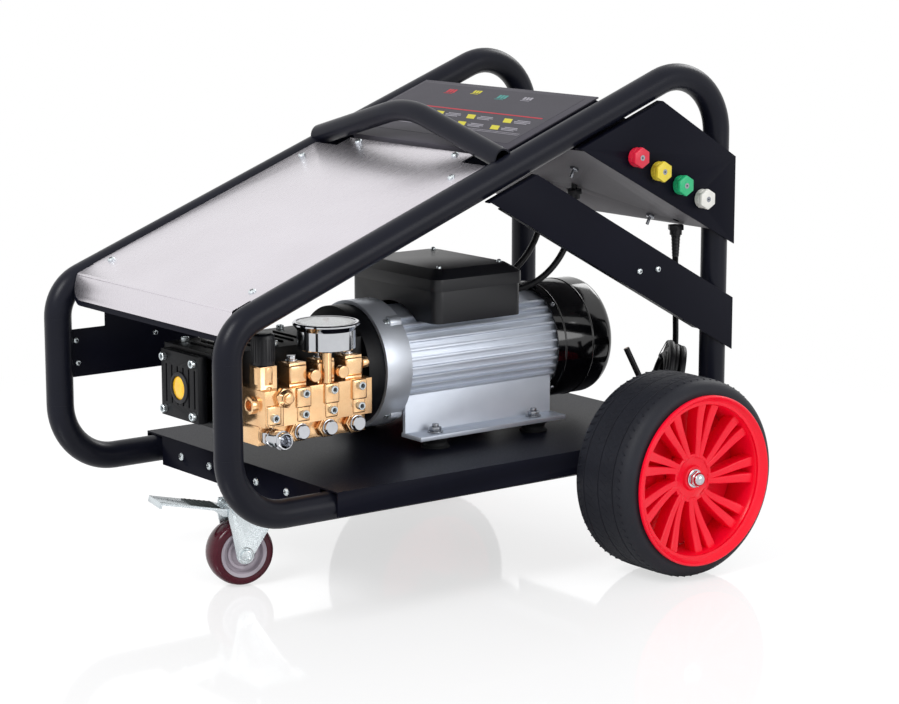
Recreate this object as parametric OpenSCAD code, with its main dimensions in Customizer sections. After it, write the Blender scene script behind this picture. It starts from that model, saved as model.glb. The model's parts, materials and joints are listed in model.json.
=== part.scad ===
// Electric high-pressure washer on a three-wheeled tube frame.
// X runs along the machine, with the big wheels at +X. Y runs across it and Z up from the floor.

/* [Frame] */
// Outside diameter of the frame tube
tube_d = 32; // [30:0.5:34]
// Wall of the frame tube
tube_wall = 2; // [1.5:0.5:3]
// Front upright to rear upright, centre to centre
frame_len = 700; // [690:2:730]
// Near side frame to far side frame, centre to centre
frame_w = 366; // [362:1:380]
// Height of the bottom tube's centre above the floor
bottom_z = 131; // [129:0.5:135]
// Height where the front upright's centre line meets the sloping tube's
front_corner_z = 337; // [332:1:345]
// Height where the rear upright's centre line meets the sloping tube's
rear_corner_z = 609; // [600:1:620]
// Bend radius at the two bottom corners
bottom_bend_r = 70; // [60:1:75]
// Bend radius at the low front corner
front_bend_r = 48; // [44:1:56]
// Bend radius at the high rear corner
rear_bend_r = 69; // [64:1:74]
// Diameter of the handle hoop's tube
hoop_d = 25; // [22:0.5:26]
// Distance of the handle hoop behind the front upright
hoop_from_front = 372; // [368:1:378]
// Height of the handle hoop's crown above the sloping tubes' centre line
hoop_rise = 58; // [50:1:65]
// Bend radius of the handle hoop's crown
hoop_bend_r = 150; // [120:5:170]

/* [Sheet metal] */
// Thickness of the folded black sheet
sheet = 2; // [1.5:0.25:2.5]
// Distance of the tray's front edge behind the front upright
tray_from_front = 128; // [120:1:134]
// Depth of the tray's side skirts
skirt_h = 28; // [22:1:32]
// Depth of the tray's front flange and caster channel
channel_h = 36; // [34:0.5:38]
// Length of the caster channel under the tray
channel_len = 92; // [88:1:110]
// Thickness of the stainless cover
cover_t = 1.5; // [1:0.25:2]
// Depth of the cover's folded front lip
cover_lip_h = 28; // [22:1:32]
// Rear edge of the cover, along the slope from the front upright
cover_end = 410; // [404:1:411]
// Height of the diagonal strap where it meets the rear upright
strap_h = 64; // [56:1:70]
// Height of the diagonal strap's lower rear corner above the floor
strap_low_z = 243; // [240:1:252]
// Fall of the diagonal strap toward the rear
strap_deg = 29; // [28:0.5:30]
// Length of the front gusset on the far side
gusset_len = 175; // [150:5:190]
// Height of the front gusset's lower edge above the floor
gusset_low_z = 231; // [226:1:240]
// Height of the front gusset's low step
gusset_step_h = 57; // [50:1:62]

/* [Control box] */
// Lower rear corner of the cheek plates above the floor
cheek_low_z = 373; // [368:1:378]
// Height of the cheek plates at the rear upright
cheek_h = 106; // [98:1:110]
// Fall of the box floor toward the rear
floor_deg = 28; // [27:0.5:29]
// Front edge of the lid, along the slope from the front upright
lid_start = 415; // [414:1:419]
// Length of the lid along the slope
lid_len = 156; // [150:1:158]
// Depth of the shallow front end of the box
box_front_h = 26; // [22:1:30]
// Height of the box's rear wall
box_back_h = 80; // [70:1:88]
// Distance between neighbouring spray nozzles
nozzle_pitch = 40; // [34:1:42]
// Distance of the first nozzle in front of the rear upright
nozzle_first = 146; // [144:1:152]
// Height of the nozzle row above the cheek plate's lower edge
nozzle_up = 26; // [22:1:30]
// Width of a nozzle's coloured collar
nozzle_d = 22; // [18:0.5:24]
// Length of a nozzle's coloured collar
collar_len = 13; // [10:0.5:16]
// Diameter of a nozzle's steel stem
stem_d = 11; // [9:0.5:12]
// Length of a nozzle's steel stem
stem_len = 24; // [18:1:28]

/* [Motor] */
// Shaft height above the feet
shaft_h = 83; // [82:0.5:90]
// Sideways offset of the motor and pump from the middle of the tray
drive_y = -8; // [-12:1:-4]
// Front end of the finned barrel behind the front upright
barrel_from_front = 318; // [314:1:324]
// Length of the finned barrel
barrel_len = 227; // [220:1:232]
// Radius of the barrel without its fins
barrel_r = 65; // [63:0.5:66]
// Height of a cooling fin
fin_h = 5; // [3:0.5:6]
// Wall of the barrel
barrel_wall = 5; // [4:0.5:6]
// Radius of the silver end bell
bell_r = 76; // [74:0.5:78]
// Length of the silver end bell
bell_len = 36; // [32:1:40]
// Radius of the black fan cover
fan_cover_r = 72.5; // [71.5:0.5:75]
// Length of the black fan cover
fan_cover_len = 92; // [84:1:96]
// Radius of the rotor
rotor_r = 36; // [32:0.5:38]
// Length of the rotor and stator stacks
stack_len = 120; // [100:5:130]
// Shaft diameter
shaft_d = 20; // [18:0.5:22]
// Outer diameter of the motor bearings
bearing_d = 42; // [40:0.5:47]
// Width of a bearing
bearing_w = 12; // [10:0.5:14]
// Width of the motor feet, across the machine
feet_w = 182; // [176:1:188]
// Thickness of the motor's foot rails
foot_t = 5; // [4:0.5:6]
// Height of the rubber mounts
mount_h = 12; // [10:0.5:14]
// Diameter of the rubber mounts
mount_d = 34; // [28:1:36]
// Length of the terminal box
terminal_len = 130; // [124:1:138]
// Width of the terminal box
terminal_w = 172; // [140:1:180]
// Height of the terminal box's top edge above the shaft
terminal_h = 90; // [86:1:98]
// Height of the terminal box itself
terminal_box_h = 38; // [34:1:44]
// Height of the terminal box's lid
terminal_lid_h = 24; // [20:1:28]

/* [Pump] */
// Front face of the crankcase behind the front upright
case_from_front = 60; // [56:1:66]
// Height of the crankcase
case_h = 84; // [80:1:90]
// Width of the crankcase on the side away from the head
case_back_w = 52; // [46:1:58]
// Crank axis to the head's joint face
head_gap = 50; // [49:0.5:56]
// Wall of the crankcase
case_wall = 6; // [5:0.5:7]
// Radius of the black mounting flange
flange_r = 72; // [70:0.5:74]
// Thickness of the black mounting flange
flange_t = 23; // [20:1:26]
// First cylinder behind the front upright
cylinder_from_front = 140; // [137:1:144]
// Distance between neighbouring cylinders
cylinder_pitch = 38; // [36:0.5:40]
// Plunger diameter
plunger_d = 18; // [14:0.5:19]
// Throw of the crank, half of the plunger stroke
crank_throw = 6; // [5:0.25:6.5]
// Diameter of an eccentric on the crankshaft
eccentric_d = 28; // [26:0.5:29]
// Width of a connecting yoke
yoke_w = 10; // [8:0.5:14]
// Depth of the brass head from its joint face
head_depth = 54; // [50:1:58]
// Width of a valve column on the head
column_w = 22; // [18:0.5:24]
// Radius of the pressure gauge's bezel
gauge_r = 38; // [34:0.5:39]
// Height of the pressure gauge's case
gauge_h = 31; // [26:0.5:34]
// Diameter of the unloader's knob
knob_d = 28; // [24:0.5:30]
// Height of the unloader's knob
knob_h = 36; // [30:1:40]

/* [Rear wheels] */
// Outside radius of a tyre
tyre_r = 118; // [114:0.5:119]
// Width of a tyre
tyre_w = 98; // [90:1:100]
// Radius of the rim's outer flange
rim_r = 101; // [98:0.5:104]
// Distance of the axle behind the front upright
axle_from_front = 574; // [568:1:580]
// Diameter of the rear axle
axle_d = 16; // [14:0.5:17]
// Clear space between a side skirt and its tyre
tyre_gap = 4.7; // [3:0.1:8]
// How far the rim's flange stands outside the tyre
rim_proud = 7; // [5:0.5:9]
// How deep the hub's face lies inside the rim's flange
hub_recess = 24; // [20:1:28]
// Radius of a wheel hub
hub_r = 22; // [19:0.5:24]
// Number of paired spokes
spoke_pairs = 9; // [8:1:12]

/* [Caster] */
// Caster wheel radius
caster_r = 39; // [36:0.5:40]
// Caster wheel width
caster_w = 32; // [28:1:34]
// Distance of the swivel axis behind the front upright
swivel_from_front = 162; // [160:1:168]
// Trail of the caster wheel behind its swivel axis
caster_trail = 30; // [26:1:34]
// Angle that the caster stands turned at rest
caster_turn = 12; // [0:1:20]
// Length of the brake pedal
pedal_len = 92; // [80:1:96]
// Width of the brake pedal
pedal_w = 40; // [32:1:44]

/* [Cords] */
// Diameter of the power cord
cord_d = 7.5; // [7:0.1:7.5]
// Diameter of a motor cable
cable_d = 8; // [7:0.5:9]
// Straight stretch of a motor cable under the control box's gland
cable_lead = 10; // [6:1:14]

/* [Clearances] */
// Gap between seated pieces
seat = 0.3; // [0.2:0.05:0.4]
// Radial clearance of shafts and pins in their bores
fit = 0.05; // [0.03:0.01:0.1]

/* [Hidden] */
$fn = 64;
LEFT = -1;
RIGHT = 1;
eps = 0.01;
// Hairline between a tube's straight lengths and its bends
weld = 0.02;

// Places that the pieces share
tube_r = tube_d / 2;
front_x = -frame_len / 2;
rear_x = frame_len / 2;
side_y = frame_w / 2;
slope_tan = (rear_corner_z - front_corner_z) / frame_len;
slope_deg = atan(slope_tan);
tube_drop = tube_r / cos(slope_deg);
plate_y = side_y + tube_r + seat;
inner_y = side_y - tube_r - seat;
cage_rear_x = rear_x + tube_r;
tray_front_x = front_x + tray_from_front;
tray_under_z = bottom_z + tube_r + seat;
tray_top_z = tray_under_z + sheet;
tray_rear_x = rear_x - tube_r - seat;
channel_z = tray_top_z - channel_h;
feet_z = tray_top_z + mount_h + 2 * seat;
drive_z = feet_z + shaft_h;
barrel_x = front_x + barrel_from_front;
barrel_end_x = barrel_x + barrel_len;
bell_x = barrel_x - bell_len - seat;
flange_x = bell_x - flange_t - seat;
case_x = front_x + case_from_front;
head_y = drive_y - head_gap - case_wall - seat;
cylinder_x = [for (i = [0:2]) front_x + cylinder_from_front + i * cylinder_pitch];
axle_x = front_x + axle_from_front;
axle_z = tyre_r;
tyre_y = plate_y + sheet + tyre_gap;
wheel_face_y = tyre_y + tyre_w + rim_proud;
hub_face_y = wheel_face_y - hub_recess;
swivel_x = front_x + swivel_from_front;
shaft_r = shaft_d / 2;
bearing_r = bearing_d / 2;

function slope_z(x) = front_corner_z + slope_tan * (x - front_x);
// Where a line that falls toward the rear through (x, z) meets the sloping tube's underside
function meet_x(x, z, fall) = (z + fall * x - front_corner_z + slope_tan * front_x + tube_drop)
    / (fall + slope_tan);
function meet_point(x, z, fall) = let (mx = meet_x(x, z, fall)) [mx, slope_z(mx) - tube_drop];
function floor_z(x) = cheek_low_z + tan(floor_deg) * (cage_rear_x - x);
function unit(v) = v / norm(v);
function half_angle(a, p, b) = acos(unit(a - p) * unit(b - p)) / 2;
function setback(a, p, b, r) = r == 0 ? 0 : r / tan(half_angle(a, p, b));
function cross2(a, b) = a[0] * b[1] - a[1] * b[0];
// A polygon's outline drawn in by t on every side, for a counter-clockwise outline
function left_of(v) = [-v[1], v[0]];
function inset(p, t) = let (n = len(p)) [for (i = [0:n - 1])
    let (
        u = left_of(unit(p[i] - p[(i + n - 1) % n])),
        v = left_of(unit(p[(i + 1) % n] - p[i]))
    )
    p[i] + t * (u + v) / (1 + u * v)];

// ---- Shared shapes

module tube_profile(d, wall) {
    difference() {
        circle(d = d);
        circle(d = d - 2 * wall);
    }
}

// A bent tube in the XY plane along corner points, with a bend radius at each
module bent_tube(points, bends, d, wall, closed = false) {
    n = len(points);
    for (i = [0:closed ? n - 1 : n - 2]) {
        a = points[(i + n - 1) % n];
        p = points[i];
        q = points[(i + 1) % n];
        b = points[(i + 2) % n];
        start = bends[i] == 0 ? 0 : setback(a, p, q, bends[i]);
        stop = bends[(i + 1) % n] == 0 ? 0 : setback(p, q, b, bends[(i + 1) % n]);
        run = q - p;
        translate([p[0], p[1], 0])
            rotate([0, 0, atan2(run[1], run[0])])
                translate([start + weld, 0, 0])
                    rotate([0, 90, 0])
                        linear_extrude(norm(run) - start - stop - 2 * weld) tube_profile(d, wall);
    }
    for (i = [0:n - 1]) {
        if (bends[i] > 0) {
            a = points[(i + n - 1) % n];
            p = points[i];
            b = points[(i + 1) % n];
            half = half_angle(a, p, b);
            centre = p + unit(unit(a - p) + unit(b - p)) * bends[i] / sin(half);
            entry = p + unit(a - p) * setback(a, p, b, bends[i]) - centre;
            sweep = 180 - 2 * half;
            first = atan2(entry[1], entry[0]) - (cross2(p - a, b - p) > 0 ? 0 : sweep);
            translate([centre[0], centre[1], 0])
                rotate([0, 0, first])
                    rotate_extrude(angle = sweep)
                        translate([bends[i], 0]) tube_profile(d, wall);
        }
    }
}

// Stands a flat XY drawing up in the XZ plane, t thick, from y0 toward +Y
module upright(y0, t) {
    translate([0, y0 + t, 0]) rotate([90, 0, 0]) linear_extrude(t) children();
}

// Local frame on the sloping tubes' centre plane, with x up the slope and z square to it
module on_slope() {
    translate([front_x, 0, front_corner_z]) rotate([0, -slope_deg, 0]) children();
}

// Local frame on the control box's floor, with x down the floor from above the rear upright
module on_floor(x) {
    translate([x, 0, floor_z(x)]) rotate([0, floor_deg, 0]) children();
}

module slope_tubes(extra) {
    for (side = [LEFT, RIGHT])
        on_slope()
            translate([0, side * side_y, 0])
                rotate([0, 90, 0]) cylinder(h = frame_len, r = tube_r + extra);
}

// A shaft-like turning along X, centred on the drive line
module on_drive(x) {
    translate([x, drive_y, drive_z]) rotate([0, 90, 0]) children();
}

module ring(r_out, r_in, h) {
    difference() {
        cylinder(h = h, r = r_out);
        translate([0, 0, -1]) cylinder(h = h + 2, r = r_in);
    }
}

// A socket-head cap screw lying along +Z, with its hexagon recess
screw_d = 8;
screw_head_h = 5;
module cap_screw(d = screw_d, h = screw_head_h) {
    difference() {
        cylinder(h = h, d = d);
        translate([0, 0, h / 2]) cylinder(h = h, d = d / 2, $fn = 6);
    }
}

// ---- Frame

loop_points = [
    [front_x, bottom_z], [rear_x, bottom_z], [rear_x, rear_corner_z], [front_x, front_corner_z]
];
loop_bends = [bottom_bend_r, bottom_bend_r, rear_bend_r, front_bend_r];
lug_w = 36;
lug_t = 10;
lug_h = 12;

module side_frame(side) {
    color("#17181b")
        difference() {
            union() {
                translate([0, side * side_y, 0])
                    rotate([90, 0, 0]) bent_tube(loop_points, loop_bends, tube_d, tube_wall, true);
                translate([
                    axle_x - lug_w / 2, side * side_y - lug_t / 2, bottom_z - tube_r - lug_h - weld
                ])
                    cube([lug_w, lug_t, lug_h]);
            }
            translate([axle_x, side * side_y - tube_d, axle_z])
                rotate([-90, 0, 0]) cylinder(h = 2 * tube_d, d = axle_d + 2 * fit);
        }
}

hoop_x = front_x + hoop_from_front;
hoop_end_up = 14;
module handle_hoop() {
    end_z = slope_z(hoop_x) + hoop_end_up;
    half = atan2(side_y, hoop_rise - hoop_end_up);
    crown = hoop_rise + hoop_bend_r * (1 / sin(half) - 1);
    color("#17181b")
        difference() {
            translate([hoop_x, 0, 0])
                rotate([90, 0, 90])
                    bent_tube(
                        [[-side_y, end_z], [0, slope_z(hoop_x) + crown], [side_y, end_z]],
                        [0, hoop_bend_r, 0], hoop_d, tube_wall
                    );
            slope_tubes(seat);
            for (side = [LEFT, RIGHT])
                translate([hoop_x - tube_d, side * (side_y + tube_r) - tube_r, slope_z(hoop_x) - tube_d])
                    cube([2 * tube_d, tube_d, 3 * tube_d]);
        }
}

skirt_end_x = rear_x - bottom_bend_r;
channel_end_x = tray_front_x + channel_len;
module base_tray() {
    color("#1b1c1f")
        difference() {
            union() {
                translate([tray_front_x, -plate_y - sheet, tray_under_z])
                    cube([skirt_end_x - tray_front_x, 2 * (plate_y + sheet), sheet]);
                translate([skirt_end_x, -inner_y, tray_under_z])
                    cube([tray_rear_x - skirt_end_x, 2 * inner_y, sheet]);
                for (side = [LEFT, RIGHT])
                    translate([
                        tray_front_x, side * (plate_y + sheet / 2) - sheet / 2, tray_top_z - skirt_h
                    ])
                        cube([skirt_end_x - tray_front_x, sheet, skirt_h - sheet]);
                for (x = [tray_front_x, channel_end_x - sheet])
                    translate([x, -inner_y, channel_z])
                        cube([sheet, 2 * inner_y, channel_h - sheet]);
                translate([tray_front_x, -inner_y, channel_z])
                    cube([channel_len, 2 * inner_y, sheet]);
                translate([tray_rear_x - sheet, -inner_y, tray_top_z - skirt_h])
                    cube([sheet, 2 * inner_y, skirt_h - sheet]);
            }
            translate([axle_x, -plate_y - tube_d, axle_z])
                rotate([-90, 0, 0]) cylinder(h = 2 * (plate_y + tube_d), d = axle_d + 2);
        }
}

strap_fold = 9;
// A lip folded inward from a side plate's edge, which runs from a to b
module side_lip(a, b) {
    across = left_of(unit(a - b)) * sheet;
    upright(-plate_y - eps, strap_fold) polygon([a, a + across, b + across, b]);
}

// A plate of the near side plane, with a lip under the sloping tube
module folded_plate(outline, from, to) {
    upright(-plate_y - sheet, sheet) polygon(outline);
    side_lip(from, to);
}

strap_fall = tan(strap_deg);
module diagonal_strap() {
    low = meet_point(cage_rear_x, strap_low_z, strap_fall);
    high = meet_point(cage_rear_x, strap_low_z + strap_h, strap_fall);
    color("#1b1c1f") {
        folded_plate(
            [[cage_rear_x, strap_low_z], [cage_rear_x, strap_low_z + strap_h], high, low],
            low, high
        );
        run = [cage_rear_x, strap_low_z] - low;
        side_lip(low + 0.85 * run, low + 0.05 * run);
    }
}

gusset_front_x = front_x + tube_r + seat;
module front_gusset() {
    step_x = gusset_front_x + 46;
    far_x = gusset_front_x + gusset_len;
    step_z = gusset_low_z + gusset_step_h;
    edge = tube_drop + seat;
    color("#1b1c1f")
        upright(side_y - sheet / 2, sheet)
            polygon([
                [gusset_front_x, gusset_low_z], [far_x, gusset_low_z],
                [far_x, slope_z(far_x) - edge], [step_x, slope_z(step_x) - edge],
                [step_x, step_z], [gusset_front_x, step_z]
            ]);
}

cover_start = 26;
cover_n = 10.5;
fold_r = 0.5;
backing_n = cover_n - seat - sheet - fold_r;
cover_half_w = side_y - tube_r + 2;
backing_half_w = cover_half_w - 1;
lip_half_w = inner_y - seat;
lip_deg = 52;
cover_corner_r = 20;
// A lip's flat outline, with rounded lower corners, running along -X from its fold
module lip_outline(half_w, h) {
    translate([-h + cover_corner_r, -half_w]) square([h - cover_corner_r, 2 * half_w]);
    translate([-h, -half_w + cover_corner_r])
        square([cover_corner_r + eps, 2 * (half_w - cover_corner_r)]);
    for (side = [LEFT, RIGHT])
        translate([-h + cover_corner_r, side * (half_w - cover_corner_r)])
            intersection() {
                circle(r = cover_corner_r);
                translate([-cover_corner_r, side == LEFT ? -cover_corner_r : 0])
                    square([cover_corner_r + eps, cover_corner_r]);
            }
}

notch_y = 124;
// Room for the handle hoop's feet in the sheets that it stands through
module hoop_notches() {
    for (side = [0, 1])
        mirror([0, side, 0])
            translate([hoop_x - hoop_d / 2 - 2, notch_y, slope_z(hoop_x) - hoop_rise])
                cube([hoop_d + 4, side_y - notch_y, 2 * hoop_rise]);
}

// A sheet between the sloping tubes with its front end folded down, r off the fold's axis.
// Its roof spreads over the tubes, and its lip passes between their bends.
module folded_cover(r, t, half_w, lip_h) {
    spread_from = front_bend_r - cover_start;
    on_slope()
        translate([cover_start, 0, backing_n]) {
            translate([0, -lip_half_w, r]) cube([spread_from + eps, 2 * lip_half_w, t]);
            translate([spread_from, -half_w, r])
                cube([cover_end - cover_start - spread_from, 2 * half_w, t]);
            translate([0, lip_half_w, 0])
                rotate([90, 0, 0])
                    rotate([0, 0, 90])
                        rotate_extrude(angle = lip_deg)
                            translate([r, 0]) square([t, 2 * lip_half_w]);
            rotate([0, -lip_deg, 0])
                translate([-weld, 0, r]) linear_extrude(t) lip_outline(lip_half_w, lip_h);
        }
}

module top_cover() {
    color("#c9c5c6")
        difference() {
            folded_cover(fold_r + sheet + seat, cover_t, cover_half_w, cover_lip_h);
            hoop_notches();
        }
}

backing_drop = 6;
module cover_backing() {
    color("#1b1c1f")
        difference() {
            folded_cover(fold_r, sheet, backing_half_w, cover_lip_h + backing_drop);
            hoop_notches();
        }
}

cover_screws = [[63, 150], [352, 150], [402, 96]];
pan_d = 8;
pan_h = 3;
tray_screw_y = [122, 60, -40, -102];
strap_screw_x = [213, 242];
strap_screw_z = 353;
module frame_screws() {
    color("#d8dade") {
        for (s = cover_screws, side = [LEFT, RIGHT])
            on_slope()
                translate([s[0], side * s[1], cover_n + cover_t]) cylinder(h = pan_h, d = pan_d);
        for (y = tray_screw_y)
            translate([tray_front_x, y, bottom_z])
                rotate([0, -90, 0]) cylinder(h = pan_h, d = pan_d);
        for (x = strap_screw_x)
            translate([x, -plate_y - sheet, strap_screw_z])
                rotate([90, 0, 0]) cylinder(h = pan_h, d = pan_d);
    }
}

// ---- Control box

box_half_w = inner_y;
lid_n = cover_n + 4.5;
rim_n = lid_n - sheet - seat;
function on_rim(along) = front_x + along * cos(slope_deg) - rim_n * sin(slope_deg);
box_front_x = on_rim(lid_start) + 3 * sheet;
box_top_x = on_rim(lid_start + lid_len) - 2 * sheet;
box_rear_x = rear_x - tube_r - 8;
function rim_z(x) = slope_z(x) + rim_n / cos(slope_deg);
knee_x = (floor_z(0) - rim_z(0) + box_front_h) / (slope_tan + tan(floor_deg));
box_outline = [
    [box_front_x, rim_z(box_front_x) - box_front_h], [knee_x, floor_z(knee_x)],
    [box_rear_x, floor_z(box_rear_x)], [box_rear_x, floor_z(box_rear_x) + box_back_h],
    [box_top_x, rim_z(box_top_x)], [box_front_x, rim_z(box_front_x)]
];
nozzle_y = -plate_y - sheet;
function nozzle_x(i) = rear_x - nozzle_first + i * nozzle_pitch * cos(floor_deg);
function nozzle_z(i) = floor_z(nozzle_x(i)) + nozzle_up / cos(floor_deg);
cheek_fall = 0.61;
power_gland_x = rear_x - 36;
power_gland_y = 13 - box_half_w;
cable_y = [-50, 10];
terminal_rear_x = barrel_x + 26 + terminal_len;
gland_len = 12;
gland_d = 20;
cable_exit = 10;
terminal_top_z = drive_z + terminal_h;
terminal_cable_z = terminal_top_z - 16;
// The underside of the sloping floor, level with a gland's outer edge
function gland_z(x) = floor_z(x) - gland_d / 2 * tan(floor_deg) - seat;
// A motor cable leaves level, then rises a quarter turn that fills the height under its gland
cable_turn_x = terminal_rear_x + gland_len + cable_exit;
cable_bend_r = (gland_z(cable_turn_x) - gland_len - cable_lead - terminal_cable_z)
    / (1 + tan(floor_deg));
cable_x = cable_turn_x + cable_bend_r;
switch_along = 72;
switch_y = -90;
switch_hole_d = 18;

// The roof's local frame, from the lid's rear edge down to the rear wall
roof_drop = box_outline[4] - box_outline[3];
roof_deg = atan2(roof_drop[1], -roof_drop[0]);
module on_roof(along) {
    translate([box_top_x, 0, rim_z(box_top_x)])
        rotate([0, roof_deg, 0]) translate([along, 0, 0]) children();
}

module cheek(side) {
    low = meet_point(cage_rear_x, cheek_low_z, tan(floor_deg));
    high = meet_point(cage_rear_x, cheek_low_z + cheek_h, cheek_fall);
    mirror([0, side == LEFT ? 0 : 1, 0])
        folded_plate(
            [[cage_rear_x, cheek_low_z], [cage_rear_x, cheek_low_z + cheek_h], high, low],
            low, high
        );
}

module control_box() {
    floor_start = meet_x(cage_rear_x, cheek_low_z, tan(floor_deg)) + 3 * sheet;
    color("#202124")
        difference() {
            union() {
                for (side = [LEFT, RIGHT]) cheek(side);
                upright(-box_half_w, 2 * box_half_w) polygon(box_outline);
                translate([floor_start, -plate_y - sheet / 2, floor_z(floor_start)])
                    rotate([0, floor_deg, 0])
                        cube([
                            (box_rear_x - floor_start) / cos(floor_deg),
                            2 * plate_y + sheet, sheet
                        ]);
            }
            upright(-box_half_w + sheet, 2 * (box_half_w - sheet))
                polygon(inset(box_outline, sheet));
            on_slope()
                translate([lid_start + 4 * sheet, -box_half_w + 4 * sheet, rim_n - 3 * sheet])
                    cube([lid_len - 10 * sheet, 2 * box_half_w - 8 * sheet, 4 * sheet]);
            for (i = [0:3])
                translate([nozzle_x(i), -plate_y + sheet, nozzle_z(i)])
                    rotate([90, 0, 0]) cylinder(h = 3 * sheet, d = stem_d + 4 * fit);
            for (y = cable_y)
                translate([cable_x, y, floor_z(cable_x) - 2 * sheet])
                    cylinder(h = 6 * sheet, d = cable_d + 1);
            translate([power_gland_x, power_gland_y, floor_z(power_gland_x) - 2 * sheet])
                cylinder(h = 6 * sheet, d = cord_d + 1);
            on_roof(switch_along)
                translate([0, switch_y, -2 * sheet]) cylinder(h = 4 * sheet, d = switch_hole_d);
        }
}

module box_lid() {
    color("#3a3b40")
        difference() {
            on_slope() {
                translate([lid_start, -box_half_w, lid_n - sheet])
                    cube([lid_len, 2 * box_half_w, sheet]);
                translate([lid_start, -box_half_w, lid_n - 5 * sheet])
                    cube([sheet / 2, 2 * box_half_w, 4 * sheet]);
            }
            hoop_notches();
        }
}

contactor_size = [46, 45, 46];
relay_size = [42, 34, 40];
rail_w = 35;
rail_t = 4;
contactor_y = 60;
contactor_back = 72;
module contactor() {
    base_n = sheet + seat + rail_t;
    color("#e6e3da")
        on_floor(box_rear_x - contactor_back) {
            translate([(contactor_size[0] - rail_w) / 2, contactor_y - rail_w / 2, sheet + seat])
                cube([rail_w, contactor_size[1] + relay_size[1] + rail_w, rail_t]);
            translate([0, contactor_y, base_n]) cube(contactor_size);
            translate([0, contactor_y + contactor_size[1], base_n]) cube(relay_size);
        }
}

switch_d = 30;
switch_h = 9;
module switch_knob() {
    color("#c4161c")
        on_roof(switch_along)
            translate([0, switch_y, seat]) {
                cylinder(h = switch_h, d = switch_d);
                translate([-switch_d / 2 + 3, -3, switch_h]) cube([switch_d - 6, 6, 7]);
                translate([0, 0, -4 * sheet]) cylinder(h = 4 * sheet, d = switch_hole_d - 2);
            }
}

module nozzle(i, hue) {
    color(hue)
        translate([nozzle_x(i), nozzle_y - seat, nozzle_z(i)])
            rotate([90, 0, 0])
                difference() {
                    union() {
                        cylinder(h = collar_len, d = nozzle_d, $fn = 6);
                        translate([0, 0, -stem_len]) cylinder(h = stem_len + eps, d = stem_d);
                    }
                    translate([0, 0, -stem_len - 1])
                        cylinder(h = stem_len + collar_len + 2, d = stem_d / 2);
                }
}

// ---- Cords

module gland(bore) {
    difference() {
        union() {
            cylinder(h = gland_len / 2, d = gland_d, $fn = 6);
            translate([0, 0, gland_len / 2]) cylinder(h = gland_len / 2, d = gland_d - 5);
        }
        translate([0, 0, -1]) cylinder(h = gland_len + 2, d = bore);
    }
}

module cable_glands() {
    color("#101113") {
        for (y = cable_y) {
            translate([terminal_rear_x + seat, y, terminal_cable_z])
                rotate([0, 90, 0]) gland(cable_d + 2 * fit);
            translate([cable_x, y, gland_z(cable_x)])
                mirror([0, 0, 1]) gland(cable_d + 2 * fit);
        }
        translate([power_gland_x, power_gland_y, gland_z(power_gland_x)])
            mirror([0, 0, 1]) gland(cord_d + 2 * fit);
    }
}

module motor_cables() {
    x0 = terminal_rear_x + seat;
    top_z = floor_z(cable_x) + sheet;
    color("#0e0f11")
        for (y = cable_y)
            translate([0, y, terminal_cable_z]) {
                translate([x0, 0, 0])
                    rotate([0, 90, 0]) cylinder(h = cable_turn_x - x0, d = cable_d);
                translate([cable_turn_x, 0, cable_bend_r])
                    rotate([90, 0, 0])
                        rotate([0, 0, -90])
                            rotate_extrude(angle = 90)
                                translate([cable_bend_r, 0]) circle(d = cable_d);
                translate([cable_x, 0, cable_bend_r])
                    cylinder(h = top_z - terminal_cable_z - cable_bend_r, d = cable_d);
            }
}

// The coil stands on edge on the tray, turned about the vertical and leaning: flat spirals side
// by side, wound in, out and in again, with its free end rising out of the last one
coil_layers = 3;
coil_turns = 2.25;
coil_step = 8;
coil_inner_r = 30;
coil_outer_r = coil_inner_r + coil_turns * coil_step;
coil_sides = 6;
rings_per_turn = 24;
coil_turned = 52;
coil_lean = 12;
coil_z = tray_top_z + seat + cord_d / 2 + (coil_outer_r - coil_step / 4 + seat) * cos(coil_lean);
coil_middle = [rear_x - 26, 36 - side_y, coil_z];
coil_lead = 8;
leave_t = 7.25;
tail_bend_r = 34;
tail_len = 46;
coil_across = [cos(coil_turned), sin(coil_turned), 0];
coil_up = [
    sin(coil_lean) * sin(coil_turned), -sin(coil_lean) * cos(coil_turned), cos(coil_lean)
];
coil_axis = cross(coil_up, coil_across);
function coil_place(p) = coil_middle + p[0] * coil_across + p[1] * coil_axis + p[2] * coil_up;
function coil_layer(t) = min(coil_layers - 1, floor(t / coil_turns));
function coil_local(t) = min(coil_turns, t - coil_layer(t) * coil_turns);
function coil_r(t) = coil_layer(t) % 2 == 0
    ? coil_outer_r - coil_step * coil_local(t)
    : coil_inner_r + coil_step * coil_local(t);
// Side steps happen within a quarter turn either way of each turning point
function ramp(u) = min(1, max(0, u));
function coil_side(t) = ramp(2 * (t - coil_turns) + 0.5) + ramp(2 * (t - 2 * coil_turns) + 0.5)
    + ramp(2 * (t - 3 * coil_turns) + 0.5);
function coil_point(t) = [
    coil_r(t) * cos(-360 * t), coil_step * coil_side(t), coil_r(t) * sin(-360 * t)
];
coil_rings = floor(leave_t * rings_per_turn);
leave_dir = [sin(-360 * leave_t), 0, -cos(-360 * leave_t)];
tail_dir = unit([0, 0.6, 0.8]);
tail_turn = acos(leave_dir * tail_dir);
tail_in = unit(tail_dir - (leave_dir * tail_dir) * leave_dir);
function tail_point(a) = coil_point(leave_t)
    + tail_bend_r * (sin(a) * leave_dir + (1 - cos(a)) * tail_in);
coil_path = [for (p = concat(
    [[coil_outer_r, 0, coil_lead]],
    [for (i = [0:coil_rings - 1]) coil_point(i / rings_per_turn)],
    [for (k = [0:6]) tail_point(tail_turn * k / 6)],
    [for (k = [1:3]) tail_point(tail_turn) + tail_dir * tail_len * k / 3]
)) coil_place(p)];
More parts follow.
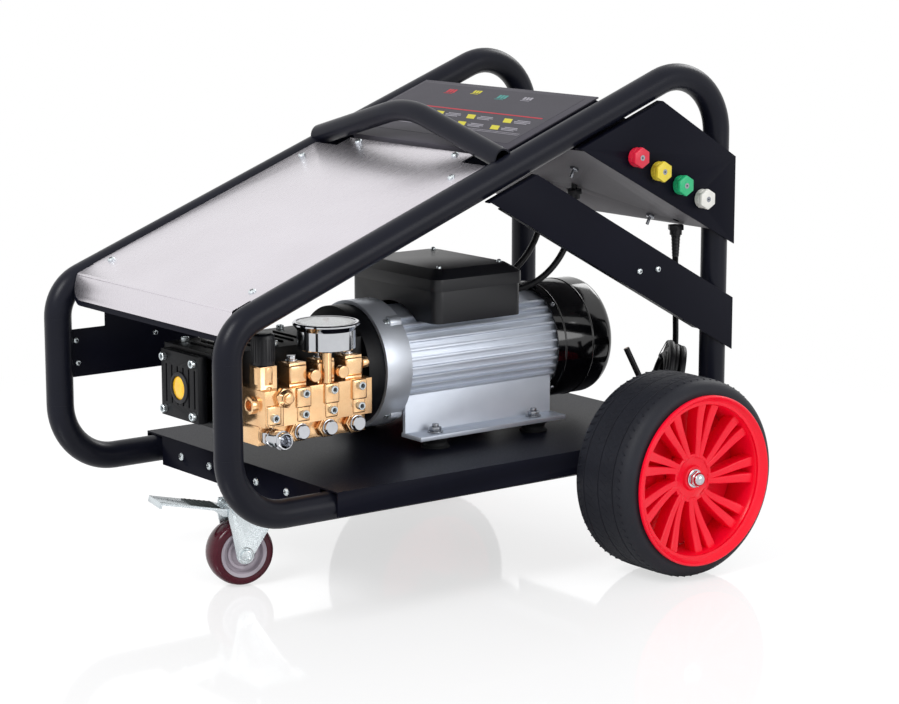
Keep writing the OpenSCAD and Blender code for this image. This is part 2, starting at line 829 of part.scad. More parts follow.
// The power cord's free drop from its gland to the coil, as offsets from the gland and heights
cord_drop = [
    [0, 0, 404], [0, 0, 378], [1, 1, 364], [3.5, 4, 348], [8, 8.5, 332], [13.5, 14, 316],
    [19.5, 20, 300], [25.5, 26, 284], [31, 31.5, 268], [35.5, 36, 252], [39, 40, 236], [41, 42.5, 220]
];
cord_route = concat(
    [for (p = cord_drop) [power_gland_x + p[0], power_gland_y + p[1], p[2]]], [coil_path[0]]
);

// One closed tube along a route, as rings of points joined by triangles
function route_dir(path, i) = unit(path[min(i + 1, len(path) - 1)] - path[max(i - 1, 0)]);
function ring_points(path, i, r, sides) = let (
        d = route_dir(path, i),
        across = abs(d[1]) > 0.9 ? [1, 0, 0] : [0, 1, 0],
        u = unit(cross(d, across)),
        v = cross(d, u)
    )
    [for (k = [0:sides - 1]) path[i] + r * (cos(360 * k / sides) * u + sin(360 * k / sides) * v)];
module swept_tube(path, r, sides) {
    n = len(path);
    points = [for (i = [0:n - 1]) each ring_points(path, i, r, sides)];
    walls = [for (i = [0:n - 2], k = [0:sides - 1])
        let (
            a = i * sides + k, b = i * sides + (k + 1) % sides,
            c = (i + 1) * sides + k, d = (i + 1) * sides + (k + 1) % sides
        )
        each [[a, b, d], [a, d, c]]];
    caps = [for (k = [1:sides - 2]) each [
        [0, k + 1, k], [(n - 1) * sides, (n - 1) * sides + k, (n - 1) * sides + k + 1]
    ]];
    polyhedron(points = points, faces = concat(walls, caps), convexity = 10);
}

// The least distance between stretches of the coil more than half a turn apart
coil_gap = min([for (i = [0:len(coil_path) - 13], j = [i + 12:len(coil_path) - 1])
    norm(coil_path[i] - coil_path[j])]) - cord_d;
echo(coil_gap = coil_gap);

module power_cord() {
    color("#0c0d0f") swept_tube(cord_route, cord_d / 2, 10);
}

module power_cord_coil() {
    color("#0c0d0f") swept_tube(coil_path, cord_d / 2, coil_sides);
}

tie_w = 5;
tie_t = 1.2;
tie_deg = 62;
module cord_tie() {
    inner = [coil_turns * coil_step + cord_d + 2, coil_layers * coil_step + cord_d + 2];
    color("#0c0d0f")
        translate(coil_middle)
            rotate([0, 0, coil_turned])
                rotate([coil_lean, 0, 0])
                    translate([0, coil_layers * coil_step / 2, 0])
                        rotate([0, -tie_deg, 0])
                            translate([(coil_inner_r + coil_outer_r) / 2, 0, -tie_w / 2])
                                difference() {
                                    linear_extrude(tie_w)
                                        square(inner + 2 * [tie_t, tie_t], center = true);
                                    translate([0, 0, -1])
                                        linear_extrude(tie_w + 2) square(inner, center = true);
                                }
}

// ---- Motor

fin_t = 2.6;
fin_pitch_deg = 9;
fin_low_deg = -45;
fin_high_deg = 54;
web_y = barrel_r - 7;
bolt_x = [barrel_x + 34, barrel_end_x - 44];
bolt_hole_d = 8.6;
mount_y = feet_w / 2 - 17;
module motor_housing() {
    color("#c3c9d3") {
        difference() {
            union() {
                on_drive(barrel_x)
                    linear_extrude(barrel_len) {
                        circle(r = barrel_r);
                        for (a = [fin_low_deg:fin_pitch_deg:fin_high_deg], side = [LEFT, RIGHT])
                            rotate(side * (90 + a))
                                translate([0, -fin_t / 2]) square([barrel_r + fin_h, fin_t]);
                    }
                for (side = [LEFT, RIGHT])
                    translate([barrel_x, drive_y + side * web_y - foot_t / 2, feet_z + eps])
                        cube([barrel_len - 7, foot_t, shaft_h - barrel_r / 2]);
            }
            on_drive(barrel_x - 1) cylinder(h = barrel_len + 2, r = barrel_r - barrel_wall);
        }
        difference() {
            for (side = [LEFT, RIGHT])
                translate([
                    barrel_x, drive_y + side * (feet_w / 2 + web_y - foot_t) / 2
                        - (feet_w / 2 - web_y + foot_t) / 2, feet_z
                ])
                    cube([barrel_len - 7, feet_w / 2 - web_y + foot_t, foot_t]);
            for (x = bolt_x, side = [LEFT, RIGHT])
                translate([x, drive_y + side * mount_y, feet_z - 1])
                    cylinder(h = foot_t + 2, d = bolt_hole_d);
        }
    }
}

bolt_d = 8;
nut_d = 15;
nut_h = 6;
module rubber_mounts() {
    color("#141414")
        for (x = bolt_x, side = [LEFT, RIGHT])
            translate([x, drive_y + side * mount_y, tray_top_z + seat]) {
                cylinder(h = mount_h, d = mount_d);
                cylinder(h = mount_h + foot_t + nut_h, d = bolt_d);
                translate([0, 0, mount_h + foot_t + 2 * seat]) cylinder(h = nut_h, d = nut_d, $fn = 6);
            }
}

bell_wall = 6;
lug_d = 15;
lug_deg = [42, 138, 222, 318];
module end_bell() {
    pocket = bell_wall + bearing_w + seat;
    color("#b9bdc4")
        on_drive(bell_x) {
            rotate_extrude()
                polygon([
                    [shaft_r + 2, 0], [bell_r, 0], [bell_r, bell_len],
                    [barrel_r - barrel_wall, bell_len], [barrel_r - barrel_wall, pocket],
                    [bearing_r + fit, pocket], [bearing_r + fit, bell_wall],
                    [shaft_r + 2, bell_wall]
                ]);
            for (a = lug_deg)
                rotate(a)
                    translate([bell_r - 4, 0, bell_len - 17]) cylinder(h = 16, d = lug_d);
        }
}

shield_t = 6;
shield_x = barrel_end_x + seat;
module rear_shield() {
    color("#b9bdc4")
        on_drive(shield_x)
            difference() {
                cylinder(h = shield_t + bearing_w, r = barrel_r - 1);
                translate([0, 0, -1]) cylinder(h = bearing_w + 1, r = bearing_r + fit);
                translate([0, 0, -1]) cylinder(h = shield_t + bearing_w + 2, r = shaft_r + 2);
                translate([0, 0, shield_t])
                    ring(barrel_r, bearing_r + 5, bearing_w + 1);
            }
}

stack_x = barrel_x + (barrel_len - stack_len) / 2;
air_gap = 0.7;
winding_len = 28;
module stator() {
    color("#9a5a34")
        on_drive(stack_x) {
            ring(barrel_r - barrel_wall - fit, rotor_r + air_gap, stack_len);
            for (z = [-winding_len, stack_len])
                translate([0, 0, z]) ring(barrel_r - barrel_wall - 8, rotor_r + 5, winding_len);
        }
}

coupling_len = 32;
fan_x = shield_x + shield_t + bearing_w + 4;
fan_w = 24;
module rotor() {
    color("#8d9096")
        union() {
            on_drive(stack_x) cylinder(h = stack_len, r = rotor_r);
            on_drive(flange_x - coupling_len)
                cylinder(h = fan_x + fan_w - flange_x + coupling_len, d = shaft_d);
        }
}

blades = 6;
blade_t = 3;
fan_r = 58;
module cooling_fan() {
    color("#1d1e21")
        on_drive(fan_x)
            difference() {
                union() {
                    cylinder(h = fan_w, r = shaft_r + 6);
                    cylinder(h = 3, r = fan_r - 12);
                    for (i = [0:blades - 1])
                        rotate(360 / blades * i)
                            translate([shaft_r + 2, -blade_t / 2, 0])
                                cube([fan_r - shaft_r - 2, blade_t, fan_w]);
                }
                translate([0, 0, -1]) cylinder(h = fan_w + 2, r = shaft_r + fit);
            }
}

fan_cover_wall = 2;
fan_cover_lap = 3;
slot_count = 24;
slot_w = 3;
slot_start = 24;
slot_len = 30;
fan_corner_r = 14;
fan_cover_x = barrel_end_x - fan_cover_lap;
module fan_cover() {
    color("#101114")
        on_drive(fan_cover_x)
            difference() {
                rotate_extrude() {
                    square([fan_cover_r, fan_cover_len - fan_corner_r]);
                    square([fan_cover_r - fan_corner_r, fan_cover_len]);
                    translate([fan_cover_r - fan_corner_r, fan_cover_len - fan_corner_r])
                        circle(r = fan_corner_r);
                }
                translate([0, 0, -1])
                    cylinder(
                        h = fan_cover_len - fan_corner_r + 1, r = fan_cover_r - fan_cover_wall
                    );
                translate([0, 0, -1])
                    cylinder(
                        h = fan_cover_len - fan_cover_wall + 1, r = fan_cover_r - fan_corner_r
                    );
                for (i = [0:slot_count - 1])
                    rotate(360 / slot_count * i)
                        translate([slot_start, -slot_w / 2, fan_cover_len - 2 * fan_cover_wall])
                            cube([slot_len, slot_w, 4 * fan_cover_wall]);
            }
}

terminal_x = terminal_rear_x - terminal_len;
terminal_wall = 3;
terminal_r = 12;
module terminal_outline(grow) {
    l = terminal_len + 2 * grow;
    w = terminal_w + 2 * grow;
    translate([-grow, drive_y - w / 2]) {
        translate([terminal_r, 0]) square([l - 2 * terminal_r, w]);
        translate([0, terminal_r]) square([l, w - 2 * terminal_r]);
        for (x = [terminal_r, l - terminal_r], y = [terminal_r, w - terminal_r])
            translate([x, y]) circle(r = terminal_r);
    }
}

module terminal_box() {
    low_z = terminal_top_z - terminal_box_h;
    color("#141519")
        difference() {
            translate([terminal_x, 0, low_z]) linear_extrude(terminal_box_h) terminal_outline(0);
            translate([terminal_x, 0, drive_z + barrel_r + fin_h + terminal_wall])
                linear_extrude(terminal_box_h) terminal_outline(-terminal_wall);
            on_drive(terminal_x - 1)
                cylinder(h = terminal_len + 2, r = barrel_r + fin_h + seat);
            for (y = cable_y)
                translate([terminal_rear_x - 2 * terminal_wall, y, terminal_cable_z])
                    rotate([0, 90, 0]) cylinder(h = 3 * terminal_wall, d = cable_d + 1);
        }
}

lid_lap = 1.5;
lid_rim_h = 14;
module terminal_lid() {
    color("#1a1b1f")
        translate([terminal_x, 0, terminal_top_z + seat]) {
            difference() {
                linear_extrude(lid_rim_h) terminal_outline(lid_lap);
                translate([0, 0, -1])
                    linear_extrude(lid_rim_h - 1) terminal_outline(-terminal_wall);
            }
            hull($fn = 32) {
                translate([0, 0, lid_rim_h - eps]) linear_extrude(eps) terminal_outline(lid_lap);
                translate([0, 0, terminal_lid_h - 1]) linear_extrude(1) terminal_outline(-terminal_r);
            }
        }
}

capacitor_r = 13;
capacitor_len = 78;
module capacitors() {
    color("#d9d9d4")
        for (side = [LEFT, RIGHT])
            translate([
                terminal_x + 18, drive_y + side * 28,
                drive_z + barrel_r + fin_h + terminal_wall + capacitor_r + seat
            ])
                rotate([0, 90, 0]) cylinder(h = capacitor_len, r = capacitor_r);
}

sleeve_r = 15;
crank_bearing_r = 26;
sleeve_len = coupling_len + 4;
module bearings() {
    color("#aeb2b8") {
        on_drive(bell_x + bell_wall + seat) ring(bearing_r, shaft_r + fit, bearing_w);
        on_drive(shield_x) ring(bearing_r, shaft_r + fit, bearing_w - seat);
        on_drive(case_x + case_wall + seat) ring(bearing_r, shaft_r + fit, bearing_w);
        on_drive(flange_x + seat) ring(crank_bearing_r, sleeve_r + fit, bearing_w);
    }
}

// ---- Pump

case_z = drive_z - case_h / 2 + 2;
case_end_x = flange_x + 1;
case_back_y = drive_y + case_back_w;
case_front_y = drive_y - head_gap - case_wall;
filler_x = case_x + 50;
module crankcase() {
    color("#15161a")
        difference() {
            union() {
                translate([case_x, case_front_y, case_z])
                    cube([case_end_x - case_x, case_back_y - case_front_y, case_h]);
                on_drive(flange_x) cylinder(h = flange_t, r = flange_r);
                translate([filler_x, drive_y, case_z + case_h - 1]) cylinder(h = 13, d = 26);
            }
            translate([case_x - 1, case_front_y + case_wall, case_z + case_wall])
                cube([
                    flange_x - case_x - case_wall + 1, case_back_y - case_front_y - 2 * case_wall,
                    case_h - 2 * case_wall
                ]);
            on_drive(flange_x)
                cylinder(h = flange_t + 1, r = crank_bearing_r + fit);
            on_drive(flange_x - case_wall - 1) cylinder(h = 2 * case_wall, r = sleeve_r + 2);
            for (x = cylinder_x)
                translate([x, case_front_y + case_wall + 1, drive_z])
                    rotate([90, 0, 0]) cylinder(h = case_wall + 2, d = plunger_d + 2 * fit);
        }
}

cover_w = 78;
cover_t2 = 12;
sight_d = 24;
rib_t = 3;
module end_cover() {
    color("#15161a")
        difference() {
            union() {
                translate([case_x - cover_t2 - seat, drive_y - cover_w / 2, case_z + 4])
                    cube([cover_t2, cover_w, case_h - 8]);
                on_drive(case_x - seat - eps) cylinder(h = case_wall + seat, r = bearing_r + 4);
            }
            for (y = [-30:12:30])
                translate([case_x - cover_t2 - seat - 1, drive_y + y - rib_t, case_z + 20])
                    cube([4, rib_t, case_h - 40]);
            on_drive(case_x - cover_t2 - seat - 1) cylinder(h = 6, d = sight_d + 2 * fit);
            on_drive(case_x + seat) cylinder(h = case_wall, r = bearing_r + fit);
        }
}

module sight_glass() {
    color("#f2b705")
        on_drive(case_x - cover_t2 - seat - 2) cylinder(h = 6, d = sight_d);
}

phase = [0, 120, 240];
crank_start_x = case_x + case_wall + seat;
function throw_y(i) = crank_throw * cos(phase[i]);
function throw_z(i) = crank_throw * sin(phase[i]);
module crankshaft() {
    color("#8d9096")
        difference() {
            union() {
                on_drive(crank_start_x)
                    cylinder(h = flange_x - coupling_len - crank_start_x, d = shaft_d);
                on_drive(flange_x - sleeve_len + eps)
                    cylinder(h = sleeve_len + seat + bearing_w, r = sleeve_r);
                for (i = [0:2])
                    translate([0, throw_y(i), throw_z(i)])
                        on_drive(cylinder_x[i] - yoke_w / 2 - 1) cylinder(h = yoke_w + 2, d = eccentric_d);
            }
            on_drive(flange_x - coupling_len - seat)
                cylinder(h = coupling_len + bearing_w + 2, r = shaft_r + fit);
        }
}

yoke_t = 5;
yoke_gap = 0.8;
sweep_r = eccentric_d / 2 + crank_throw;
yoke_in = sweep_r + yoke_gap;
bar_back = yoke_in + crank_throw;
plunger_reach = 74;
yoke_leg = 46;
module plunger(i) {
    y = drive_y + throw_y(i);
    color("#d5d8dc")
        translate([cylinder_x[i], y - bar_back, drive_z]) {
            rotate([90, 0, 0]) cylinder(h = plunger_reach - bar_back, d = plunger_d);
            translate([-yoke_w / 2, -yoke_t, -yoke_in - yoke_t])
                cube([yoke_w, yoke_t, 2 * (yoke_in + yoke_t)]);
            for (z = [-yoke_in - yoke_t, yoke_in])
                translate([-yoke_w / 2, -yoke_t, z]) cube([yoke_w, yoke_leg, yoke_t]);
        }
}

// The brass head: a lower inlet manifold, the cylinder block and three valve columns
head_x = cylinder_x[0] - 26;
head_end_x = cylinder_x[2] + 18;
head_front_y = head_y - head_depth;
block_low_z = drive_z - 34;
block_top_z = drive_z + 7;
inlet_z = drive_z - 44;
manifold_y = head_y - 40;
manifold_h = 22;
manifold_x = head_x - 25;
column_y = head_y - 33;
column_top_z = drive_z + 33;
plug_hex_d = 22;
plug_hex_len = 9;
bore_end_y = head_y - 34;
gauge_x = cylinder_x[1] - 2;
gauge_y = head_front_y + 6;
gauge_rise = 46;
gauge_z = drive_z + gauge_rise;
gauge_stem_d = 12;
module pump_head() {
    color("#c79a3b")
        difference() {
            union() {
                translate([head_x, head_front_y, block_low_z])
                    cube([head_end_x - head_x, head_depth, block_top_z - block_low_z]);
                translate([manifold_x, manifold_y, block_low_z - manifold_h + eps])
                    cube([head_end_x - manifold_x, head_y - manifold_y, manifold_h]);
                for (x = cylinder_x) {
                    translate([x - column_w / 2, column_y - column_w / 2, block_top_z - eps])
                        cube([column_w, column_w, column_top_z - block_top_z + eps]);
                    translate([x, manifold_y + eps, inlet_z])
                        rotate([90, 0, 0]) cylinder(h = plug_hex_len, d = plug_hex_d, $fn = 6);
                }
                translate([gauge_x, gauge_y, block_top_z - eps])
                    cylinder(h = gauge_z - seat - block_top_z, d = gauge_stem_d);
            }
            for (x = cylinder_x)
                translate([x, head_y + 1, drive_z])
                    rotate([90, 0, 0])
                        cylinder(h = head_y - bore_end_y + 1, d = plunger_d + 2 * fit);
        }
}

inlet_plug_d = 17;
inlet_plug_len = 7;
column_plug_d = 12;
column_plug_h = 6;
module valve_plugs() {
    color("#d3d6da")
        for (x = cylinder_x) {
            translate([x, manifold_y - plug_hex_len - seat, inlet_z])
                rotate([90, 0, 0]) cap_screw(inlet_plug_d, inlet_plug_len);
            translate([x, column_y + 2, column_top_z + seat])
                cylinder(h = column_plug_h, d = column_plug_d, $fn = 6);
        }
}

cover_screw_y = 31;
cover_screw_z = 30;
case_screw_x = [case_x + 20, case_x + 86, case_x + 150];
lower_screw_x = concat([manifold_x + 11], cylinder_x);
module pump_screws() {
    color("#d3d6da") {
        for (x = cylinder_x)
            translate([x, head_front_y - seat, drive_z + 0.5]) rotate([90, 0, 0]) cap_screw();
        for (x = lower_screw_x)
            translate([x, head_front_y - seat, drive_z - 23]) rotate([90, 0, 0]) cap_screw();
        for (y = [-cover_screw_y, cover_screw_y], z = [-cover_screw_z, cover_screw_z])
            translate([case_x - cover_t2 - 2 * seat, drive_y + y, case_z + case_h / 2 + z])
                rotate([0, -90, 0]) cap_screw();
        for (x = case_screw_x, y = [case_front_y + 12, case_back_y - 12])
            translate([x, y, case_z + case_h + seat]) cap_screw();
    }
}

inlet_x = manifold_x + 13;
inlet_bore_d = 15;
module inlet_fitting() {
    color("#cfd2d6")
        translate([inlet_x, manifold_y - seat, inlet_z - 2])
            rotate([90, 0, 0])
                difference() {
                    union() {
                        cylinder(h = 12, d = 22, $fn = 6);
                        cylinder(h = 36, d = inlet_bore_d + 4);
                        translate([0, 0, 26]) cylinder(h = 4, d = inlet_bore_d + 7);
                    }
                    translate([0, 0, 4]) cylinder(h = 36, d = inlet_bore_d);
                }
}

unloader_w = 24;
unloader_x = manifold_x + unloader_w / 2 + seat;
unloader_d = 13;
outlet_d = 20;
outlet_bore_d = 12;
outlet_len = 8;
outlet_bore_len = 20;
outlet_z = drive_z - 10;
// The unloader's block and column, with the high-pressure outlet at its front
module unloader_body() {
    color("#c79a3b")
        difference() {
            union() {
                translate([manifold_x, head_front_y, block_low_z + seat])
                    cube([head_x - seat - manifold_x, head_depth, block_top_z - block_low_z]);
                translate([unloader_x - column_w / 2, column_y - column_w / 2, block_top_z])
                    cube([column_w, column_w, column_top_z - block_top_z]);
                translate([unloader_x, column_y, column_top_z - eps])
                    cylinder(h = knob_h / 2, d = unloader_d);
                translate([manifold_x - outlet_len, column_y, outlet_z])
                    rotate([0, 90, 0]) cylinder(h = outlet_len + eps, d = outlet_d);
            }
            translate([manifold_x - outlet_len - 1, column_y, outlet_z])
                rotate([0, 90, 0]) cylinder(h = outlet_bore_len + 1, d = outlet_bore_d);
        }
}

grip_count = 12;
module unloader_knob() {
    color("#141416")
        translate([unloader_x, column_y, column_top_z + 2 * seat])
            difference() {
                union() {
                    cylinder(h = knob_h, d = knob_d - 2);
                    for (i = [0:grip_count - 1])
                        rotate(360 / grip_count * i)
                            translate([knob_d / 2 - 2, -1.5, 4]) cube([2, 3, knob_h - 8]);
                }
                translate([0, 0, -1]) cylinder(h = knob_h / 2 + 2, d = unloader_d + 2 * fit);
            }
}

gauge_case_r = gauge_r - 5;
gauge_wall = 3;
bezel_h = 7;
dial_z = gauge_z + gauge_h - 12;
glass_t = 2;
module gauge_case() {
    color("#cfd2d6")
        difference() {
            union() {
                translate([gauge_x, gauge_y, gauge_z])
                    cylinder(h = gauge_h - bezel_h + eps, r = gauge_case_r);
                translate([gauge_x, gauge_y, gauge_z + gauge_h - bezel_h])
                    cylinder(h = bezel_h, r = gauge_r);
            }
            translate([gauge_x, gauge_y, dial_z])
                cylinder(h = gauge_h, r = gauge_case_r - gauge_wall);
            translate([gauge_x, gauge_y, gauge_z + gauge_h - glass_t - 2 * seat])
                cylinder(h = gauge_h, r = gauge_case_r);
        }
}

module gauge_glass() {
    color("#dfe8ea")
        translate([gauge_x, gauge_y, gauge_z + gauge_h - glass_t - seat])
            cylinder(h = glass_t, r = gauge_case_r - seat);
}

needle_len = 22;
needle_rest_deg = 225;
module gauge_needle() {
    color("#c2201f")
        translate([gauge_x, gauge_y, dial_z + seat])
            rotate([0, 0, needle_rest_deg]) {
                cylinder(h = 4, d = 6);
                translate([-7, -1, 2]) cube([needle_len + 7, 2, 1.2]);
            }
}

// ---- Rear wheels

seat_r = rim_r - 10;
rim_wall = 6;
shoulder_r = 12;
hub_len = 56;
module on_wheel(side) {
    translate([axle_x, 0, axle_z]) rotate([side * -90, 0, 0]) children();
}

module tyre(side) {
    color("#131416")
        on_wheel(side)
            translate([0, 0, tyre_y])
                rotate_extrude()
                    difference() {
                        union() {
                            translate([seat_r + seat, shoulder_r])
                                square([tyre_r - seat_r - seat, tyre_w - 2 * shoulder_r]);
                            translate([seat_r + seat, 0])
                                square([tyre_r - seat_r - seat - shoulder_r, tyre_w]);
                            for (z = [shoulder_r, tyre_w - shoulder_r])
                                translate([tyre_r - shoulder_r, z]) circle(r = shoulder_r);
                        }
                        square([seat_r + seat, tyre_w]);
                    }
}

spoke_t = 6.2;
spoke_depth = 16;
spoke_split_deg = 9;
hub_proud = 2;
web_t = 4;
web_back = 8;
module rim(side) {
    flange_y = tyre_y + tyre_w + seat;
    spoke_y = hub_face_y - hub_proud - spoke_depth;
    color("#c8171c")
        on_wheel(side)
            difference() {
                union() {
                    rotate_extrude()
                        polygon([
                            [seat_r - rim_wall, tyre_y + 4], [seat_r, tyre_y + 4],
                            [seat_r, flange_y], [rim_r, flange_y],
                            [rim_r, wheel_face_y], [seat_r - rim_wall, wheel_face_y]
                        ]);
                    translate([0, 0, hub_face_y - hub_len]) cylinder(h = hub_len, r = hub_r);
                    translate([0, 0, spoke_y - web_back - web_t])
                        ring(seat_r - rim_wall / 2, hub_r - 0.5, web_t);
                    for (i = [0:spoke_pairs - 1], turn = [-spoke_split_deg, spoke_split_deg])
                        rotate(360 / spoke_pairs * i + turn)
                            translate([hub_r - 0.5, -spoke_t / 2, spoke_y])
                                cube([seat_r - rim_wall / 2 - hub_r, spoke_t, spoke_depth]);
                }
                translate([0, 0, hub_face_y - hub_len - 1])
                    cylinder(h = hub_len + 2, d = axle_d + 2 * fit);
            }
}

axle_nut_d = 30;
axle_nut_h = 13;
spacer_d = 26;
module rear_axle() {
    tip_y = hub_face_y + seat + axle_nut_h + 4;
    spacer_y = plate_y + sheet + seat;
    color("#d3d6da") {
        translate([axle_x, -tip_y, axle_z])
            rotate([-90, 0, 0]) cylinder(h = 2 * tip_y, d = axle_d);
        for (side = [LEFT, RIGHT])
            on_wheel(side) {
                translate([0, 0, hub_face_y + seat])
                    cylinder(h = axle_nut_h, d = axle_nut_d, $fn = 6);
                translate([0, 0, spacer_y])
                    cylinder(h = hub_face_y - hub_len - seat - spacer_y, d = spacer_d);
            }
    }
}

// ---- Caster

plate_t = 3;
race_r = 28;
race_h = 6;
crown_t = 4;
kingpin_d = 12;
caster_plate_z = channel_z - seat - plate_t;
crown_z = caster_plate_z - race_h - seat - crown_t;
leg_t = 3;
leg_in = caster_w / 2 + 1.5;
leg_r = 11;
caster_pin_d = 8;
core_r = caster_r - 11;
module on_caster() {
    translate([swivel_x, 0, 0]) rotate([0, 0, -caster_turn]) children();
}

module caster_plate() {
    bolt_at = [24, 34];
    color("#b9bcc0")
        translate([swivel_x, 0, caster_plate_z]) {
            translate([-34, -45, 0]) cube([68, 90, plate_t]);
            translate([0, 0, -race_h]) cylinder(h = race_h + eps, r = race_r);
            translate([0, 0, crown_z - caster_plate_z - seat - 5])
                cylinder(h = caster_plate_z - crown_z + 5, d = kingpin_d);
            translate([0, 0, crown_z - caster_plate_z - seat - 5]) cylinder(h = 5, d = kingpin_d + 7);
            for (x = [-bolt_at[0], bolt_at[0]], y = [-bolt_at[1], bolt_at[1]])
                translate([x, y, -5]) cylinder(h = 5 + eps, d = 13, $fn = 6);
        }
}

hinge_x = -42;
hinge_z = 92;
crown_front = 22;
crown_back = 30;
module leg_outline() {
    polygon([
        [-caster_trail - leg_r, caster_r], [-caster_trail + leg_r, caster_r],
        [crown_front, crown_z + 1], [hinge_x - 6, crown_z + 1], [hinge_x - 8, hinge_z - 4]
    ]);
    translate([-caster_trail, caster_r]) circle(r = leg_r);
}

module caster_fork() {
    color("#9fa3a8")
        on_caster() {
            difference() {
                union() {
                    for (y = [-leg_in - leg_t, leg_in]) upright(y, leg_t) leg_outline();
                    translate([-crown_back, -leg_in - leg_t, crown_z])
                        cube([crown_front + crown_back, 2 * (leg_in + leg_t), crown_t]);
                    translate([0, 0, crown_z]) cylinder(h = crown_t, r = race_r - 1);
                }
                translate([0, 0, crown_z - 1]) cylinder(h = crown_t + 2, d = kingpin_d + 2 * fit);
                for (y = [-leg_in - leg_t, leg_in])
                    translate([hinge_x, y - 1, hinge_z])
                        rotate([-90, 0, 0]) cylinder(h = leg_t + 2, d = pedal_pin_d + 2 * fit);
            }
            translate([-caster_trail, -leg_in - leg_t - 5, caster_r])
                rotate([-90, 0, 0]) cylinder(h = 2 * (leg_in + leg_t + 5), d = caster_pin_d);
            for (side = [LEFT, RIGHT])
                translate([-caster_trail, side * (leg_in + leg_t + 2.5) - 2.5, caster_r])
                    rotate([-90, 0, 0]) cylinder(h = 5, d = 2 * caster_pin_d - 2, $fn = 6);
        }
}

tread_r = 3;
module caster_tread() {
    color("#6e1417")
        on_caster()
            translate([-caster_trail, caster_w / 2, caster_r])
                rotate([90, 0, 0])
                    rotate_extrude()
                        difference() {
                            union() {
                                square([caster_r - tread_r, caster_w]);
                                translate([0, tread_r]) square([caster_r, caster_w - 2 * tread_r]);
                                for (z = [tread_r, caster_w - tread_r])
                                    translate([caster_r - tread_r, z]) circle(r = tread_r);
                            }
                            square([core_r + fit, caster_w]);
                        }
}

module caster_core() {
    color("#4a4c50")
        on_caster()
            translate([-caster_trail, caster_w / 2, caster_r])
                rotate([90, 0, 0])
                    difference() {
                        cylinder(h = caster_w, r = core_r);
                        translate([0, 0, -1]) cylinder(h = caster_w + 2, d = caster_pin_d + 2 * fit);
                        translate([0, 0, -1]) ring(core_r - 4, caster_pin_d, 6);
                        translate([0, 0, caster_w - 5]) ring(core_r - 4, caster_pin_d, 6);
                    }
}

pedal_pin_d = 6;
pedal_rise_deg = 11.5;
pedal_in_w = 2 * leg_in - 2;
pedal_t = 3;
module brake_pedal() {
    color("#3b3d42")
        on_caster()
            translate([hinge_x, 0, hinge_z]) {
                translate([0, -leg_in - leg_t - 2, 0])
                    rotate([-90, 0, 0]) cylinder(h = 2 * (leg_in + leg_t + 2), d = pedal_pin_d);
                rotate([0, pedal_rise_deg, 0]) {
                    translate([-14, -pedal_in_w / 2, -pedal_t / 2]) cube([14, pedal_in_w, pedal_t]);
                    translate([-pedal_len, -pedal_w / 2, -pedal_t / 2])
                        cube([pedal_len - 12, pedal_w, pedal_t]);
                    translate([-pedal_len, -pedal_w / 2, -pedal_t / 2 - 4])
                        cube([pedal_t, pedal_w, 4 + eps]);
                    translate([-12, -pedal_in_w / 2, -8]) cube([10, pedal_in_w, 8]);
                }
            }
}

// ---- The whole washer

side_frame(LEFT);  // side_frame_left
side_frame(RIGHT);  // side_frame_right
handle_hoop();
base_tray();
diagonal_strap();
front_gusset();
top_cover();
cover_backing();
frame_screws();
control_box();
box_lid();
contactor();
switch_knob();
nozzle(0, "#d01f1f");  // nozzle_red
nozzle(1, "#f0c419");  // nozzle_yellow
nozzle(2, "#1e8a3c");  // nozzle_green
nozzle(3, "#ececec");  // nozzle_white
cable_glands();
power_cord();
power_cord_coil();
cord_tie();
motor_cables();
motor_housing();
rubber_mounts();
end_bell();
rear_shield();
stator();
rotor();
cooling_fan();
fan_cover();
terminal_box();
terminal_lid();
capacitors();
bearings();
crankcase();
end_cover();
sight_glass();
crankshaft();
plunger(0);  // plunger_1
plunger(1);  // plunger_2
plunger(2);  // plunger_3
pump_head();
valve_plugs();
pump_screws();
inlet_fitting();
unloader_body();
unloader_knob();
gauge_case();
gauge_glass();
gauge_needle();
tyre(LEFT);  // left_tyre
rim(LEFT);  // left_rim
tyre(RIGHT);  // right_tyre
rim(RIGHT);  // right_rim
rear_axle();
caster_plate();
caster_fork();
caster_tread();
caster_core();
brake_pedal();
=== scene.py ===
import json
from math import acos, atan, cos, degrees, pi, radians, sin, tan
import bmesh
import bpy
from bmesh import ops
from mathutils import Matrix, Vector


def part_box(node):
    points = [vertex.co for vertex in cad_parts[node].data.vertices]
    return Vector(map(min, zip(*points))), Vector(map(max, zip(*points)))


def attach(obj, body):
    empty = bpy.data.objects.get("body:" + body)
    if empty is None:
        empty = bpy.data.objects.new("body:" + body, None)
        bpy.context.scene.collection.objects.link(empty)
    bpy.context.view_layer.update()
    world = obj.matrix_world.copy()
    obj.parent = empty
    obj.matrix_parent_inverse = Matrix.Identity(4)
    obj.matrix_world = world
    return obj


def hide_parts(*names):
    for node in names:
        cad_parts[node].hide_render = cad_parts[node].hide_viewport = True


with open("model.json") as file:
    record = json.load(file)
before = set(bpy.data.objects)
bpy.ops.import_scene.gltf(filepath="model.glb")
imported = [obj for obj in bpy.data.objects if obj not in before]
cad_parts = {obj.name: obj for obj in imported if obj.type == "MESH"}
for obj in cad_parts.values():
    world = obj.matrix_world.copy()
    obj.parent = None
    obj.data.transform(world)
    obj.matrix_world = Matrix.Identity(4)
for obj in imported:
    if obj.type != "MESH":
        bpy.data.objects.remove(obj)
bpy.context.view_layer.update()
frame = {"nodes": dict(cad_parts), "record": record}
cadNodes = frame["nodes"]
bodyOf = {node: body for body, nodes in frame["record"]["behaviour"]["bodies"].items()
    for node in nodes}
mm = 0.001
turn = 2 * pi

